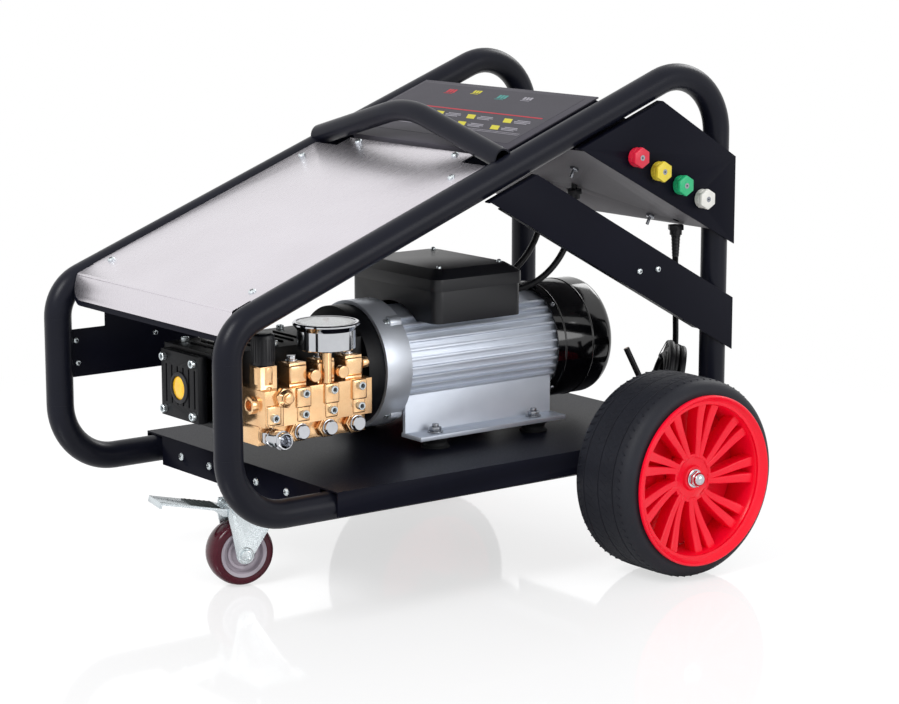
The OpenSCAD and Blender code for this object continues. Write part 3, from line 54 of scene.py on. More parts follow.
# places shared by the pieces, in millimetres
layout = {"frontX": -350, "rearX": 350, "frontCornerZ": 337, "rearCornerZ": 609, "driveY": -8,
    "driveZ": 244.9, "trayTop": 149.3, "trayFrontX": -222, "axleX": 224, "axleZ": 118,
    "swivelX": -188, "casterTurn": 12, "plateOutY": 201.3, "coverTopN": 12, "lidTopN": 15,
    "floorZ": 373, "floorX": 366, "floorDeg": 28}


def shift(x, y, z):
    return Matrix.Translation((x, y, z))


def turned(angle, axis):  # degrees
    return Matrix.Rotation(radians(angle), 4, axis)


def further(place, z):  # along the place's own Z
    return place @ shift(0, 0, z)


def onDrive(x):  # local Z runs along the motor's shaft
    return shift(x, layout["driveY"], layout["driveZ"]) @ turned(90, "Y")


def onWheel(side):  # local Z runs outwards along the axle
    return shift(layout["axleX"], 0, layout["axleZ"]) @ turned(side * -90, "X")


def onSlope():  # local X runs up the sloping tubes, local Z square to them
    x, z = layout["frontX"], layout["frontCornerZ"]
    rise = atan((layout["rearCornerZ"] - z) / (layout["rearX"] - x))
    return shift(x, 0, z) @ turned(-degrees(rise), "Y")


def onCaster():
    return shift(layout["swivelX"], 0, 0) @ turned(-layout["casterTurn"], "Z")


def boxFloorZ(x):  # the control box's sloping underside
    return layout["floorZ"] + tan(radians(layout["floorDeg"])) * (layout["floorX"] - x)


def linked(name, data):
    thing = bpy.data.objects.new(name, data)
    bpy.context.scene.collection.objects.link(thing)
    return thing


# ---- camera

cameraSet = {
    "place": (-1.768, -2.421, 0.803),
    "yaw": 52.56,  # degrees from +X towards +Y
    "down": 10.44,
    "lens": 101.95,  # for a 36 mm sensor
}


def makeCamera(s):
    data = bpy.data.cameras.new("camera")
    data.lens = s["lens"]
    data.sensor_width = 36
    data.clip_end = 100
    camera = linked("camera", data)
    camera.location = s["place"]
    camera.rotation_euler = (radians(90 - s["down"]), 0, radians(s["yaw"] - 90))
    bpy.context.scene.camera = camera


makeCamera(cameraSet)
print("camera placed")

# ---- materials


def toLinear(value):
    return value / 12.92 if value <= 0.04045 else ((value + 0.055) / 1.055) ** 2.4


def shade(code):
    return (*[toLinear(int(code[i:i + 2], 16) / 255) for i in (1, 3, 5)], 1)


def addNode(tree, kind, values=None, links=None, settings=None):
    node = tree.nodes.new("ShaderNode" + kind)
    for key, value in (settings or {}).items():
        setattr(node, key, value)
    for key, value in (values or {}).items():
        node.inputs[key].default_value = value
    for key, (source, output) in (links or {}).items():
        tree.links.new(source.outputs[output], node.inputs[key])
    return node


# dark and light ends of the colour's drift, over patches of so many millimetres, the grain's
# size, the ends of the roughness over it, its relief, the specular level, and what else is set
finishes = {
    # polyester powder coat on steel: near-black satin with fine orange peel
    "powderCoatBlack": ("#0e0f18", "#171924", 60, 1.1, (0.28, 0.38), 0.012, 0.16),
    # the same on folded sheet: flatter, with less peel
    "blackSheetPaint": ("#0b0c15", "#131420", 90, 1.0, (0.34, 0.46), 0.02, 0.06),
    # pale warm grey, matt, on the control box's underside: painted light that the white floor
    # throws up onto the black sheet
    "paintedFloorLightGrey": ("#6b696d", "#858387", 70, 1.2, (0.5, 0.62), 0.02, 0.3),
    # cold-rolled stainless sheet, brushed along the slope in long fine lines
    "brushedStainless": ("#d6d1d7", "#e6e2e8", 120, 0.5, (0.24, 0.32), 0.0015, 0.5,
        {"stretch": (0.03, 1, 0.03), "metallic": 0.95}),
    # the lid's paint: dark warm grey with a soft satin
    "lidSheetPaint": ("#45434a", "#4e4c54", 80, 0.9, (0.42, 0.5), 0.02, 0.08),
    # bright zinc plate on pressed steel: bluish white with a faint spangle
    "zincPlated": ("#c6cfd4", "#e3eaec", 40, 3, (0.24, 0.3), 0.002, 0.5, {"metallic": 0.85}),
    # turned and ground steel: plain grey, fine marks round its axis
    "machinedSteel": ("#8d9096", "#a3a6ac", 25, 0.5, (0.24, 0.34), 0.01, 0.5,
        {"stretch": (1, 0.05, 0.05), "metallic": 1}),
    # sand-cast aluminium under silver lacquer: soft grey, slightly pebbled
    "castAluminiumPaint": ("#c2c8d2", "#d8dde6", 35, 1.6, (0.3, 0.42), 0.03, 0.5,
        {"metallic": 0.55}),
    # drawn aluminium section: pale blue-grey, with long lines along it
    "extrudedAluminium": ("#c6cedb", "#dde3ee", 45, 0.7, (0.36, 0.46), 0.004, 0.5,
        {"stretch": (0.04, 1, 1), "metallic": 0.45}),
    # painted pump casting: satin black with a fine pebble
    "blackCasting": ("#08090c", "#0f1014", 30, 1.4, (0.34, 0.5), 0.06, 0.2),
    # enamelled steel fan cover: deep gloss black
    "glossBlackEnamel": ("#040406", "#08080b", 50, 2.5, (0.08, 0.14), 0.002, 0.5, {"coat": 0.2}),
    # glass-filled nylon: satin black with a spark-eroded texture
    "mouldedNylonBlack": ("#0c0d12", "#14151b", 40, 0.8, (0.34, 0.44), 0.02, 0.4),
    # machined hot-stamped brass: warm pale gold with cutter marks
    "machinedBrass": ("#e6b07a", "#ffdcae", 30, 0.7, (0.16, 0.26), 0.004, 0.5,
        {"stretch": (1, 1, 0.2), "metallic": 0.92}),
    # natural rubber mounts: matt black, slightly dusty
    "mountRubber": ("#101113", "#1b1c1e", 20, 0.9, (0.6, 0.75), 0.04, 0.2),
    # PVC cord jacket: black with a low sheen
    "cordJacketPvc": ("#0a0a0d", "#121216", 30, 0.9, (0.36, 0.46), 0.02, 0.25),
    # foamed tyre rubber: bluish black, matt, with paler patches
    "tyreRubber": ("#12131a", "#1e2029", 45, 1.2, (0.5, 0.66), 0.05, 0.3),
    # moulded polypropylene rim: signal red with a soft gloss
    "redRimPlastic": ("#ee0020", "#ff0733", 60, 1.0, (0.26, 0.36), 0.01, 0.35),
    # moulded rubber of the pedal's pad: dark greenish grey, matt
    "pedalPadRubber": ("#2a3030", "#3a4141", 18, 1.0, (0.5, 0.62), 0.05, 0.3),
    # chromed steel: mirror with the faintest haze
    "chromePlate": ("#b9bbc0", "#cfd1d5", 20, 3, (0.06, 0.1), 0.004, 0.5, {"metallic": 1}),
    # white enamel of the gauge's dial, with a faint painted glow for the light that the glass
    # above holds back
    "dialWhite": ("#ecebe6", "#f6f5f1", 15, 0.8, (0.4, 0.5), 0.005, 0.5, {"glow": 0.3}),
    # matt black: printing ink on the dial, the sight glass's ring, and painted shade in screw
    # recesses, nozzle orifices and the inlet's bore
    "mattBlackAndPaintedShade": ("#101013", "#202024", 6, 0.5, (0.5, 0.6), 0.002),
    # red lacquer on the needle and the switch
    "redLacquer": ("#b3131a", "#c61d22", 10, 0.7, (0.25, 0.34), 0.01),
    # enamelled copper windings: reddish, with wire-thick ridges
    "copperWindings": ("#8d4b2a", "#b9683c", 12, 1.2, (0.3, 0.45), 0.2, 0.5,
        {"stretch": (1, 0.2, 0.2), "metallic": 0.9}),
    # off-white polypropylene of capacitor cans and relays
    "palePolymer": ("#cfccc2", "#dedbd2", 25, 0.9, (0.4, 0.5), 0.02),
    # cast polyurethane tread: dark wine red, waxy gloss
    "castPolyurethane": ("#3a0414", "#520a20", 18, 0.9, (0.14, 0.22), 0.005, 0.3),
    # moulded nylon wheel core: pale pinkish grey, satin
    "paleNylonCore": ("#a39aa4", "#b9b0ba", 20, 0.9, (0.36, 0.46), 0.02),
    # polycarbonate foil on the lid, a shade darker than its paint
    "legendFoil": ("#3d3b42", "#46444c", 60, 0.8, (0.36, 0.44), 0.01, 0.08),
}
# acetal nozzle collars in the spray-angle colours
for name, ends in {"acetalRed": ("#cf1733", "#dd2a46"), "acetalYellow": ("#dcc52f", "#ead54a"),
        "acetalGreen": ("#15a76a", "#2fbf83"), "acetalWhite": ("#dddcd6", "#efeee9")}.items():
    finishes[name] = (*ends, 8, 0.7, (0.28, 0.38), 0.02)
# screen-printed inks of the lid's legend, thin and flat
for name, ends in {"legendRed": ("#b03a44", "#c0444e"), "legendYellow": ("#c6bd3e", "#d8cf52"),
        "legendGreen": ("#4b8d88", "#5a9f99"), "legendGrey": ("#95939b", "#a5a3ab")}.items():
    finishes[name] = (*ends, 6, 0.6, (0.4, 0.5), 0.002, 0.05)


def newMaterial(name, values):
    material = bpy.data.materials.new(name)
    material.use_nodes = True
    tree = material.node_tree
    shader = tree.nodes["Principled BSDF"]
    for key, value in values.items():
        shader.inputs[key].default_value = value
    return material, tree, shader, addNode(tree, "TexCoord")


def noise(tree, size, detail, source):  # its grains are so many millimetres across
    return addNode(tree, "TexNoise", {"Scale": 1 / (size * mm), "Detail": detail},
        {"Vector": source})


def tintBetween(tree, shader, dark, light, fac, glow):
    tint = addNode(tree, "Mix", {6: shade(dark), 7: shade(light)}, {0: (fac, "Fac")},
        {"data_type": "RGBA"})
    tree.links.new(tint.outputs[2], shader.inputs["Base Color"])
    if glow:  # a faint painted glow: on the dial for the light that the glass holds back, on the amber window to make it brighter
        tree.links.new(tint.outputs[2], shader.inputs["Emission Color"])
        shader.inputs["Emission Strength"].default_value = glow


def reliefFrom(tree, shader, height, strength, depth):
    relief = addNode(tree, "Bump", {"Strength": strength, "Distance": depth * mm},
        {"Height": (height, "Fac")})
    tree.links.new(relief.outputs["Normal"], shader.inputs["Normal"])


def makeFinish(name, dark, light, patch, grain, rough, depth, specular=0.5, more={}):
    material, tree, shader, place = newMaterial(name, {"Metallic": more.get("metallic", 0),
        "Specular IOR Level": specular, "Coat Weight": more.get("coat", 0)})
    lines = addNode(tree, "Mapping", {"Scale": more.get("stretch", (1, 1, 1))},
        {"Vector": (place, "Object")})
    patches = noise(tree, patch, 3, (place, "Object"))
    grains = noise(tree, grain, 2, (lines, "Vector"))
    tintBetween(tree, shader, dark, light, patches, more.get("glow", 0))
    sheen = addNode(tree, "MapRange", {"From Min": 0.3, "From Max": 0.7, "To Min": rough[0],
        "To Max": rough[1]}, {"Value": (grains, "Fac")})
    tree.links.new(sheen.outputs["Result"], shader.inputs["Roughness"])
    reliefFrom(tree, shader, grains, 0.6, depth)
    return material


materials = {name: makeFinish(name, *row) for name, row in finishes.items()}


def makeGlass(name):
    # pressed acrylic over the dial: clear, with a faint ripple
    material, tree, shader, place = newMaterial(name, {"Base Color": shade("#f4f7f8"),
        "Transmission Weight": 1, "Roughness": 0.02, "IOR": 1.46})
    reliefFrom(tree, shader, noise(tree, 30, 2, (place, "Object")), 0.3, 0.02)
    return material


materials["clearAcrylic"] = makeGlass("clearAcrylic")


def makeAmber(name):
    # amber acrylic oil window: bright yellow-orange, cloudy and glossy, with a faint painted glow
    material, tree, shader, place = newMaterial(name, {"Roughness": 0.12, "Coat Weight": 0.5})
    clouds = noise(tree, 9, 2, (place, "Object"))
    tintBetween(tree, shader, "#e09a10", "#ffd21c", clouds, 0.12)
    return material


materials["amberSightGlass"] = makeAmber("amberSightGlass")
print("materials made")

# ---- mesh helpers, in millimetres


def bevelSharp(part, width, segments=2, sharpDeg=32):
    sharp = [edge for edge in part.edges if len(edge.link_faces) == 2
        and edge.calc_face_angle(0) > radians(sharpDeg)]
    ops.bevel(part, geom=sharp, offset=width, affect="EDGES", segments=segments, profile=0.5,
        material=-1, clamp_overlap=True)


def boxPart(low, high):
    part = bmesh.new()
    ops.create_cube(part, size=1)
    middle = [(a + b) / 2 for a, b in zip(low, high)]
    size = [b - a for a, b in zip(low, high)]
    part.transform(shift(*middle) @ Matrix.Diagonal((*size, 1)))
    return part


def roundPart(radius, height, sides=48, tip=None):  # stands on the XY plane
    part = bmesh.new()
    ops.create_cone(part, cap_ends=True, segments=sides, radius1=radius, radius2=tip or radius,
        depth=height)
    part.transform(shift(0, 0, height / 2))
    return part


def lathePart(profile, steps=96):  # (radius, height) points round the Z axis
    part = bmesh.new()
    points = [part.verts.new((r, 0, z)) for r, z in profile]
    edges = [part.edges.new(pair) for pair in zip(points, points[1:])]
    ops.spin(part, geom=points + edges, cent=(0, 0, 0), axis=(0, 0, 1), angle=turn, steps=steps,
        use_merge=True, use_duplicate=False)
    ops.remove_doubles(part, verts=part.verts, dist=0.002)
    return part


def ringPart(profile, steps=96):  # the same with a closed profile
    return lathePart(profile + profile[:1], steps)


def drawnUp(part, height):
    drawn = ops.extrude_face_region(part, geom=part.faces[:])["geom"]
    moved = [v for v in drawn if isinstance(v, bmesh.types.BMVert)]
    ops.translate(part, vec=(0, 0, height), verts=moved)
    return part


def slabPart(points, height):  # a flat outline drawn up by its height
    part = bmesh.new()
    part.faces.new([part.verts.new((x, y, 0)) for x, y in points])
    return drawnUp(part, height)


def join(whole, part, place=None, paint=0, bevel=0, segments=2):
    ops.remove_doubles(part, verts=part.verts, dist=0.001)
    ops.dissolve_degenerate(part, edges=part.edges, dist=0.0005)
    ops.recalc_face_normals(part, faces=part.faces)
    if bevel:
        bevelSharp(part, bevel, segments)
    if place is not None:
        part.transform(place)
    for face in part.faces:
        face.material_index = paint
    mesh = bpy.data.meshes.new("part")
    part.to_mesh(mesh)
    part.free()
    whole.from_mesh(mesh)
    bpy.data.meshes.remove(mesh)


def finishPiece(name, whole, names, body, stands, smoothDeg=32):
    whole.transform(Matrix.Diagonal((mm, mm, mm, 1)))
    mesh = bpy.data.meshes.new(name)
    whole.to_mesh(mesh)
    whole.free()
    mesh.polygons.foreach_set("use_smooth", [True] * len(mesh.polygons))
    mesh.set_sharp_from_angle(angle=radians(smoothDeg))
    for each in names:
        mesh.materials.append(materials[each])
    piece = linked(name, mesh)
    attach(piece, body)
    if stands:
        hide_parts(*stands)
    return piece


def trim(name, whole, names):  # rides on the chassis and replaces nothing
    return finishPiece(name, whole, names, "chassis", ())


def standIn(node, whole, names, smoothDeg=32):  # takes the CAD node's place
    return finishPiece(node + "_dressed", whole, names, bodyOf[node], (node,), smoothDeg)


def softenedCopy(node, width, name, slot, segments=2, sharpDeg=32, repaint=None, second=None):
    whole = bmesh.new()
    whole.from_mesh(cadNodes[node].data)
    ops.remove_doubles(whole, verts=whole.verts, dist=0.005 * mm)
    whole.transform(Matrix.Diagonal((1 / mm, 1 / mm, 1 / mm, 1)))
    ops.dissolve_degenerate(whole, edges=whole.edges, dist=0.02)
    ops.dissolve_limit(whole, angle_limit=radians(0.8), verts=whole.verts, edges=whole.edges)
    if width:
        bevelSharp(whole, width, segments, sharpDeg)
    for face in whole.faces:
        face.material_index = repaint(face) if repaint else 0
    standIn(node, whole, [name, second] if second else [name])


def dress(node, name):  # a CAD solid that stays, with its finish
    slots = cadNodes[node].data.materials
    if not slots:
        slots.append(None)
    for i in range(len(slots)):
        slots[i] = materials[name]


# ---- cords

cordSet = {
    "diameter": 7.5,
    "gland": (314, -153.7),
    # offsets from the gland and heights of the free drop
    "drop": [
        (0, 0, 392), (0, 0, 378), (1, 1, 364), (3.5, 4, 348), (8, 8.5, 332), (13.5, 14, 316),
        (19.5, 20, 300), (25.5, 26, 284), (31, 31.5, 268), (35.5, 36, 252), (39, 40, 236),
        (41, 42.5, 220),
    ],
    "middle": (324, -147, 198.638), "turned": 52, "lean": 12,
    "layers": 3, "turns": 2.25, "step": 8, "inner": 30, "rings": 24, "lead": 8,
    "leave": 7.25, "tieDeg": 62, "tieWide": 7,
    "tailBend": 34, "tail": 46, "tailWay": (0, 0.6, 0.8),
}


def coilFrame(s):
    heading, lean = radians(s["turned"]), radians(s["lean"])
    across = Vector((cos(heading), sin(heading), 0))
    up = Vector((sin(lean) * sin(heading), -sin(lean) * cos(heading), cos(lean)))
    return across, up.cross(across), up


def coilSpot(s, t):  # radius and sideways place of the strand after t turns
    turns, step = s["turns"], s["step"]
    layer = min(s["layers"] - 1, int(t / turns))
    local = min(turns, t - layer * turns)
    radius = s["inner"] + step * (local if layer % 2 else turns - local)
    side = sum(min(1, max(0, 2 * (t - n * turns) + 0.5)) for n in (1, 2, 3))
    return radius, step * side


def coilPoints(s):
    outer = s["inner"] + s["turns"] * s["step"]
    across, axis, up = coilFrame(s)

    def spiral(t):
        radius, side = coilSpot(s, t)
        return Vector((radius * cos(-turn * t), side, radius * sin(-turn * t)))

    leave, rings = s["leave"], s["rings"]
    way = Vector((sin(-turn * leave), 0, -cos(-turn * leave)))
    tail = Vector(s["tailWay"]).normalized()
    bend = acos(way.dot(tail))
    inwards = (tail - way.dot(tail) * way).normalized()

    def bendPoint(a):
        return spiral(leave) + s["tailBend"] * (sin(a) * way + (1 - cos(a)) * inwards)

    local = [Vector((outer, 0, s["lead"]))]
    local += [spiral(i / rings) for i in range(int(leave * rings))]
    local += [bendPoint(bend * k / 6) for k in range(7)]
    local += [bendPoint(bend) + tail * s["tail"] * k / 3 for k in (1, 2, 3)]
    return [Vector(s["middle"]) + p.x * across + p.y * axis + p.z * up for p in local]


def lineCurve(name, points, diameter, stands):  # a cord of the chassis
    data = bpy.data.curves.new(name, "CURVE")
    data.dimensions = "3D"
    data.bevel_depth = diameter / 2 * mm
    data.bevel_resolution = 5
    data.resolution_u = 4
    data.use_fill_caps = True
    spline = data.splines.new("BEZIER")
    spline.bezier_points.add(len(points) - 1)
    for knot, p in zip(spline.bezier_points, points):
        knot.co = p * mm
        knot.handle_left_type = knot.handle_right_type = "AUTO"
    data.materials.append(materials["cordJacketPvc"])
    line = linked(name, data)
    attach(line, "chassis")
    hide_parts(*stands)
    return line


def makeTie(s):  # a flat band drawn tight round the strands
    across, axis, up = coilFrame(s)
    angle = radians(s["tieDeg"])
    whole = bmesh.new()
    reach = s["diameter"] / 2 + 0.35
    for k in range(1, int(s["leave"]) + 1):
        radius, side = coilSpot(s, k - s["tieDeg"] / 360)
        for i in range(12):
            a = turn * i / 12
            for along in (-0.5, 0.5):
                whole.verts.new((radius + reach * cos(a), side + reach * sin(a),
                    along * s["tieWide"]))
    loose = ops.convex_hull(whole, input=whole.verts)
    inside = [v for v in loose["geom_interior"] if v.is_valid]
    ops.delete(whole, geom=inside, context="VERTS")
    ends = [face for face in whole.faces if abs(face.normal.z) > 0.9]
    ops.delete(whole, geom=ends, context="FACES_ONLY")
    ops.recalc_face_normals(whole, faces=whole.faces)
    ops.solidify(whole, geom=whole.faces[:], thickness=-1.1)
    outwards = cos(angle) * across + sin(angle) * up
    along = -sin(angle) * across + cos(angle) * up
    place = Matrix((outwards, axis, along)).transposed().to_4x4()
    band = bmesh.new()
    join(band, whole, shift(*s["middle"]) @ place)
    return standIn("cord_tie", band, ["mouldedNylonBlack"])


def makePowerCord(s):
    gx, gy = s["gland"]
    path = [Vector((gx + x, gy + y, z)) for x, y, z in s["drop"]] + coilPoints(s)
    line = lineCurve("power_cord_line", path, s["diameter"], ("power_cord", "power_cord_coil"))
    way = (path[-1] - path[-2]).to_track_quat("Z", "Y").to_matrix().to_4x4()
    cut = bmesh.new()  # three conductors in their sheaths at the cut end
    for i in range(3):
        spot = shift(*path[-1]) @ way @ turned(120 * i, "Z") @ shift(1.7, 0, -0.4)
        join(cut, roundPart(1.35, 0.7, 16), spot)
        join(cut, roundPart(0.8, 0.9, 12), spot, 1)
    cutEnd = trim("cord_cut_end", cut, ["palePolymer", "copperWindings"])
    sleeve = bmesh.new()  # tapered strain relief under the gland, with its flex rings
    profile = [(3.9, 0), (5.9, 0)]
    for i in range(6):
        r = 5.7 - 0.22 * i
        profile += [(r, 2 + 4 * i), (r - 0.5, 3 + 4 * i), (r - 0.5, 4.6 + 4 * i),
            (r - 0.2, 5.6 + 4 * i)]
    profile += [(3.9, 26)]
    join(sleeve, ringPart(profile, 32), shift(gx, gy, 382.6) @ turned(180, "X"))
    relief = trim("cord_strain_relief", sleeve, ["mouldedNylonBlack"])
    makeTie(s)


cableSet = {"diameter": 8, "ys": (-50, 10), "startX": 124.3, "turnX": 146, "bendR": 93.66,
    "lowZ": 318.9, "topZ": 442.1}


def makeMotorCables(s):
    r, low = s["bendR"], s["lowZ"]
    bends = [radians(9 * k) for k in range(11)]
    for i, y in enumerate(s["ys"]):
        path = [Vector((x, y, low)) for x in (s["startX"], 131, 138)]
        path += [Vector((s["turnX"] + r * sin(a), y, low + r * (1 - cos(a)))) for a in bends]
        top = path[-1]
        path += [Vector((top.x, y, top.z + (s["topZ"] - top.z) * k / 3)) for k in (1, 2, 3)]
        line = lineCurve(f"motor_cable_{i + 1}", path, s["diameter"], ("motor_cables",))


makePowerCord(cordSet)
makeMotorCables(cableSet)
print("cords laid")

# ---- studio

studioSet = {
    "worldLight": 0.6, "floorFill": 0.8, "floorGloss": 0.2, "aim": (0, 0, 0.3),
    "floorHalf": 20, "floorDrop": 0.0003,
    "fadeFrom": 0.4, "fadeTo": 1.3,  # metres from the machine to where the floor is plain white
    # place, width, power in watts
    "lamps": {
        "keyLamp": ((-3.2, -0.6, 3.2), 1.6, 105),
        "fillLamp": ((1.4, -4.2, 1.6), 2.2, 46),
        "backLamp": ((3.4, 1.2, 2.6), 1.6, 40),
    },
}


def maths(tree, operation, first, second=None, values=None):
    links = {0: first, 1: second} if second else {0: first}
    return addNode(tree, "Math", values, links, {"operation": operation})


def shownRay(tree, rays):  # 1 where the ray is a camera, glossy or transmission ray
    seen = maths(tree, "MAXIMUM", (rays, "Is Camera Ray"), (rays, "Is Glossy Ray"))
    return maths(tree, "MAXIMUM", (seen, "Value"), (rays, "Is Transmission Ray"))


def makeWorld(s):
    world = bpy.data.worlds.new("studio")
    bpy.context.scene.world = world
    world.use_nodes = True
    tree = world.node_tree
    tree.nodes.clear()
    rays = addNode(tree, "LightPath")
    shown = shownRay(tree, rays)
    soft = addNode(tree, "Background", {"Color": shade("#ffffff"), "Strength": s["worldLight"]})
    white = addNode(tree, "Background", {"Color": shade("#ffffff"), "Strength": 1})
    mixed = addNode(tree, "MixShader", links={0: (shown, "Value"), 1: (soft, "Background"),
        2: (white, "Background")})
    addNode(tree, "OutputWorld", links={"Surface": (mixed, "Shader")})


def makeFloor(s):
    sheet = bmesh.new()
    ops.create_grid(sheet, x_segments=1, y_segments=1, size=s["floorHalf"])
    ops.translate(sheet, verts=sheet.verts, vec=(0, 0, -s["floorDrop"]))
    mesh = bpy.data.meshes.new("floor")
    sheet.to_mesh(mesh)
    sheet.free()
    floor = linked("floor", mesh)
    # seamless white paper with a trace of gloss: keeps the shadow, fades to white
    material = bpy.data.materials.new("seamlessPaper")
    material.use_nodes = True
    tree = material.node_tree
    tree.nodes.clear()
    rays = addNode(tree, "LightPath")
    tone = addNode(tree, "MixRGB", {"Color1": shade("#f4f4f5"), "Color2": shade("#a6a6a7")},
        {"Fac": (rays, "Is Camera Ray")})
    paper = addNode(tree, "BsdfDiffuse", links={"Color": (tone, "Color")})
    fill = maths(tree, "MULTIPLY", (rays, "Is Camera Ray"), None, {1: s["floorFill"]})
    glow = addNode(tree, "Emission", links={"Strength": (fill, "Value")})
    lit = addNode(tree, "AddShader", links={0: (paper, "BSDF"), 1: (glow, "Emission")})
    gloss = addNode(tree, "BsdfGlossy", {"Roughness": 0.06})
    both = addNode(tree, "MixShader", {0: s["floorGloss"]}, {1: (lit, "Shader"),
        2: (gloss, "BSDF")})
    shown = shownRay(tree, rays)
    place = addNode(tree, "TexCoord")
    away = addNode(tree, "VectorMath", None, {0: (place, "Object")}, {"operation": "LENGTH"})
    fade = addNode(tree, "MapRange", {"From Min": s["fadeFrom"], "From Max": s["fadeTo"]},
        {"Value": (away, "Value")}, {"interpolation_type": "SMOOTHSTEP"})
    whiten = maths(tree, "MULTIPLY", (fade, "Result"), (shown, "Value"))
    white = addNode(tree, "Emission")
    ground = addNode(tree, "MixShader", links={0: (whiten, "Value"), 1: (both, "Shader"),
        2: (white, "Emission")})
    addNode(tree, "OutputMaterial", links={"Surface": (ground, "Shader")})
    mesh.materials.append(material)


def makeLamps(s):
    for name, (place, width, watts) in s["lamps"].items():
        data = bpy.data.lights.new(name, "AREA")
        data.size = width
        data.energy = watts
        lamp = linked(name, data)
        lamp.location = place
        aim = Vector(s["aim"]) - Vector(place)
        lamp.rotation_euler = aim.to_track_quat("-Z", "Y").to_euler()


makeWorld(studioSet)
makeFloor(studioSet)
makeLamps(studioSet)
bpy.context.scene.view_settings.view_transform = "Standard"
print("studio lit")

# ---- screws

screwSet = {"panD": 9, "panH": 3, "slot": 1.1, "capH": 5}
# zinc, and black painted as the shade in the screws' recesses
screwLooks = ["zincPlated", "mattBlackAndPaintedShade"]


def panScrew(whole, place, d=None):  # cross-recessed pan head, its underside at the origin
    r, h, half = (d or screwSet["panD"]) / 2, screwSet["panH"], screwSet["slot"] / 2
    join(whole, lathePart([(0, 0), (r, 0), (r, h * 0.45), (r * 0.86, h * 0.78), (r * 0.5, h),
        (0, h * 1.03)], 32), place)
    # black bars painted as the shade in the cross recess
    for a in (20, 110):
        join(whole, boxPart((-r * 0.52, -half, h * 0.6), (r * 0.52, half, h * 1.05)),
            place @ turned(a, "Z"), 1)


def capScrew(whole, place, d):  # socket head: bright rim, and a black hexagon painted as the shade in its socket
    r, h = d / 2, screwSet["capH"]
    join(whole, lathePart([(0, 0), (r, 0), (r, h - 0.6), (r - 0.6, h), (r * 0.62, h),
        (r * 0.56, h - 0.5), (r * 0.56, h * 0.55), (0, h * 0.55)], 32), place)
    join(whole, roundPart(r * 0.55, 0.3, 6), further(place, h * 0.55), 1)


def makeFrameScrews():
    whole = bmesh.new()
    slope = onSlope()
    for along, y in ((63, 150), (352, 150), (402, 96)):
        for side in (-1, 1):
            panScrew(whole, slope @ shift(along, side * y, layout["coverTopN"]))
    for y in (122, 60, -40, -102):
        panScrew(whole, shift(layout["trayFrontX"], y, 131) @ turned(-90, "Y"))
    for x in (213, 242):
        panScrew(whole, shift(x, -layout["plateOutY"], 353) @ turned(90, "X"), 7)
    standIn("frame_screws", whole, screwLooks)


def makeExtraScrews():  # small fasteners of the lid and the gusset
    whole = bmesh.new()
    slope = onSlope()
    for along, y in ((424, 156), (424, -156)):
        panScrew(whole, slope @ shift(along, y, layout["lidTopN"]), 6)
    for x, z in ((-328, 275), (-326, 248), (-220, 273)):
        panScrew(whole, shift(x, 182, z) @ turned(90, "X"), 7)
    for x, y in ((182, -119), (307, -116), (182, 119), (307, 116)):  # box fixing studs
        spot = shift(x, y, boxFloorZ(x)) @ turned(180 + layout["floorDeg"], "Y") @ shift(0, 0, 0.3)
        join(whole, roundPart(5.5, 3.5, 6), spot, 2, 0.4)
        join(whole, roundPart(2, 13, 16), spot, 2, 0.3)
    trim("small_fasteners", whole, ["zincPlated", "mattBlackAndPaintedShade", "machinedSteel"])


makeFrameScrews()
makeExtraScrews()
print("screws placed")

# ---- frame and sheet metal

for node in ("side_frame_left", "side_frame_right", "handle_hoop"):
    softenedCopy(node, 0, "powderCoatBlack", "black_frame")
for node in ("base_tray", "diagonal_strap", "front_gusset", "cover_backing"):
    softenedCopy(node, 0.6, "blackSheetPaint", "black_sheet")
softenedCopy("top_cover", 0.35, "brushedStainless", "stainless")
print("frame dressed")

# ---- control box

legendSet = {
    "foil": ((438, -152), (563, 160)),
    # along the slope, across, half length, half width
    "marks": [
        ("legendRed", 548, 86, 4.5, 8.5), ("legendYellow", 552, 39, 3.5, 7.5),
        ("legendGreen", 546, -17, 4.5, 8.5), ("legendGrey", 548, -63, 3.5, 8.5),
    ],
    "redLine": (504, 116, -140, 1.2),
    "blocks": [(490, 40), (490, -22), (490, -92), (471, -26), (471, -90)],
    "lines": [(462, 150, -146), (459, 150, -146)],
}


def makeLegend(s):
    whole = bmesh.new()
    slope = onSlope()
    top = layout["lidTopN"]
    (a0, y0), (a1, y1) = s["foil"]
    join(whole, boxPart((a0, y0, top), (a1, y1, top + 0.2)), slope)
    names = ["legendFoil", "legendRed", "legendYellow", "legendGreen", "legendGrey"]

    def ink(a, y, halfA, halfY, name, lean=0.0):
        ends = [(a - halfA, y - halfY - lean), (a + halfA, y - halfY + lean),
            (a + halfA, y + halfY + lean), (a - halfA, y + halfY - lean)]
        join(whole, slabPart(ends, 0.12), slope @ shift(0, 0, top + 0.2), names.index(name))

    for name, a, y, halfA, halfY in s["marks"]:
        for k in (-1, 0, 1):  # three short bars stand for a word
            ink(a, y + k * halfY * 0.7, halfA, halfY * 0.27, name, 1.0)
        ink(a - halfA - 2.2, y, 0.5, halfY, name)
    a, yHigh, yLow, half = s["redLine"]
    ink(a, (yHigh + yLow) / 2, half, (yHigh - yLow) / 2, "legendRed")
    for a, y in s["blocks"]:
        ink(a, y, 5, 7.5, "legendYellow", 3.5)
        for k in (-3.4, -0.2, 3.0):
            ink(a + k, y - 27, 0.8, 15 - abs(k), "legendGrey", 1)
    for a, yHigh, yLow in s["lines"]:
        ink(a, (yHigh + yLow) / 2, 0.4, (yHigh - yLow) / 2, "legendGrey")
    trim("lid_legend", whole, names)


def boxUnderside(face):  # the sloping underside gets the pale grey of painted light from the floor
    middle = face.calc_center_median()
    under = face.normal.z < -0.7 and face.normal.x < -0.3
    return 1 if under and abs(middle.y) < 199 and 170 < middle.x < 340 else 0
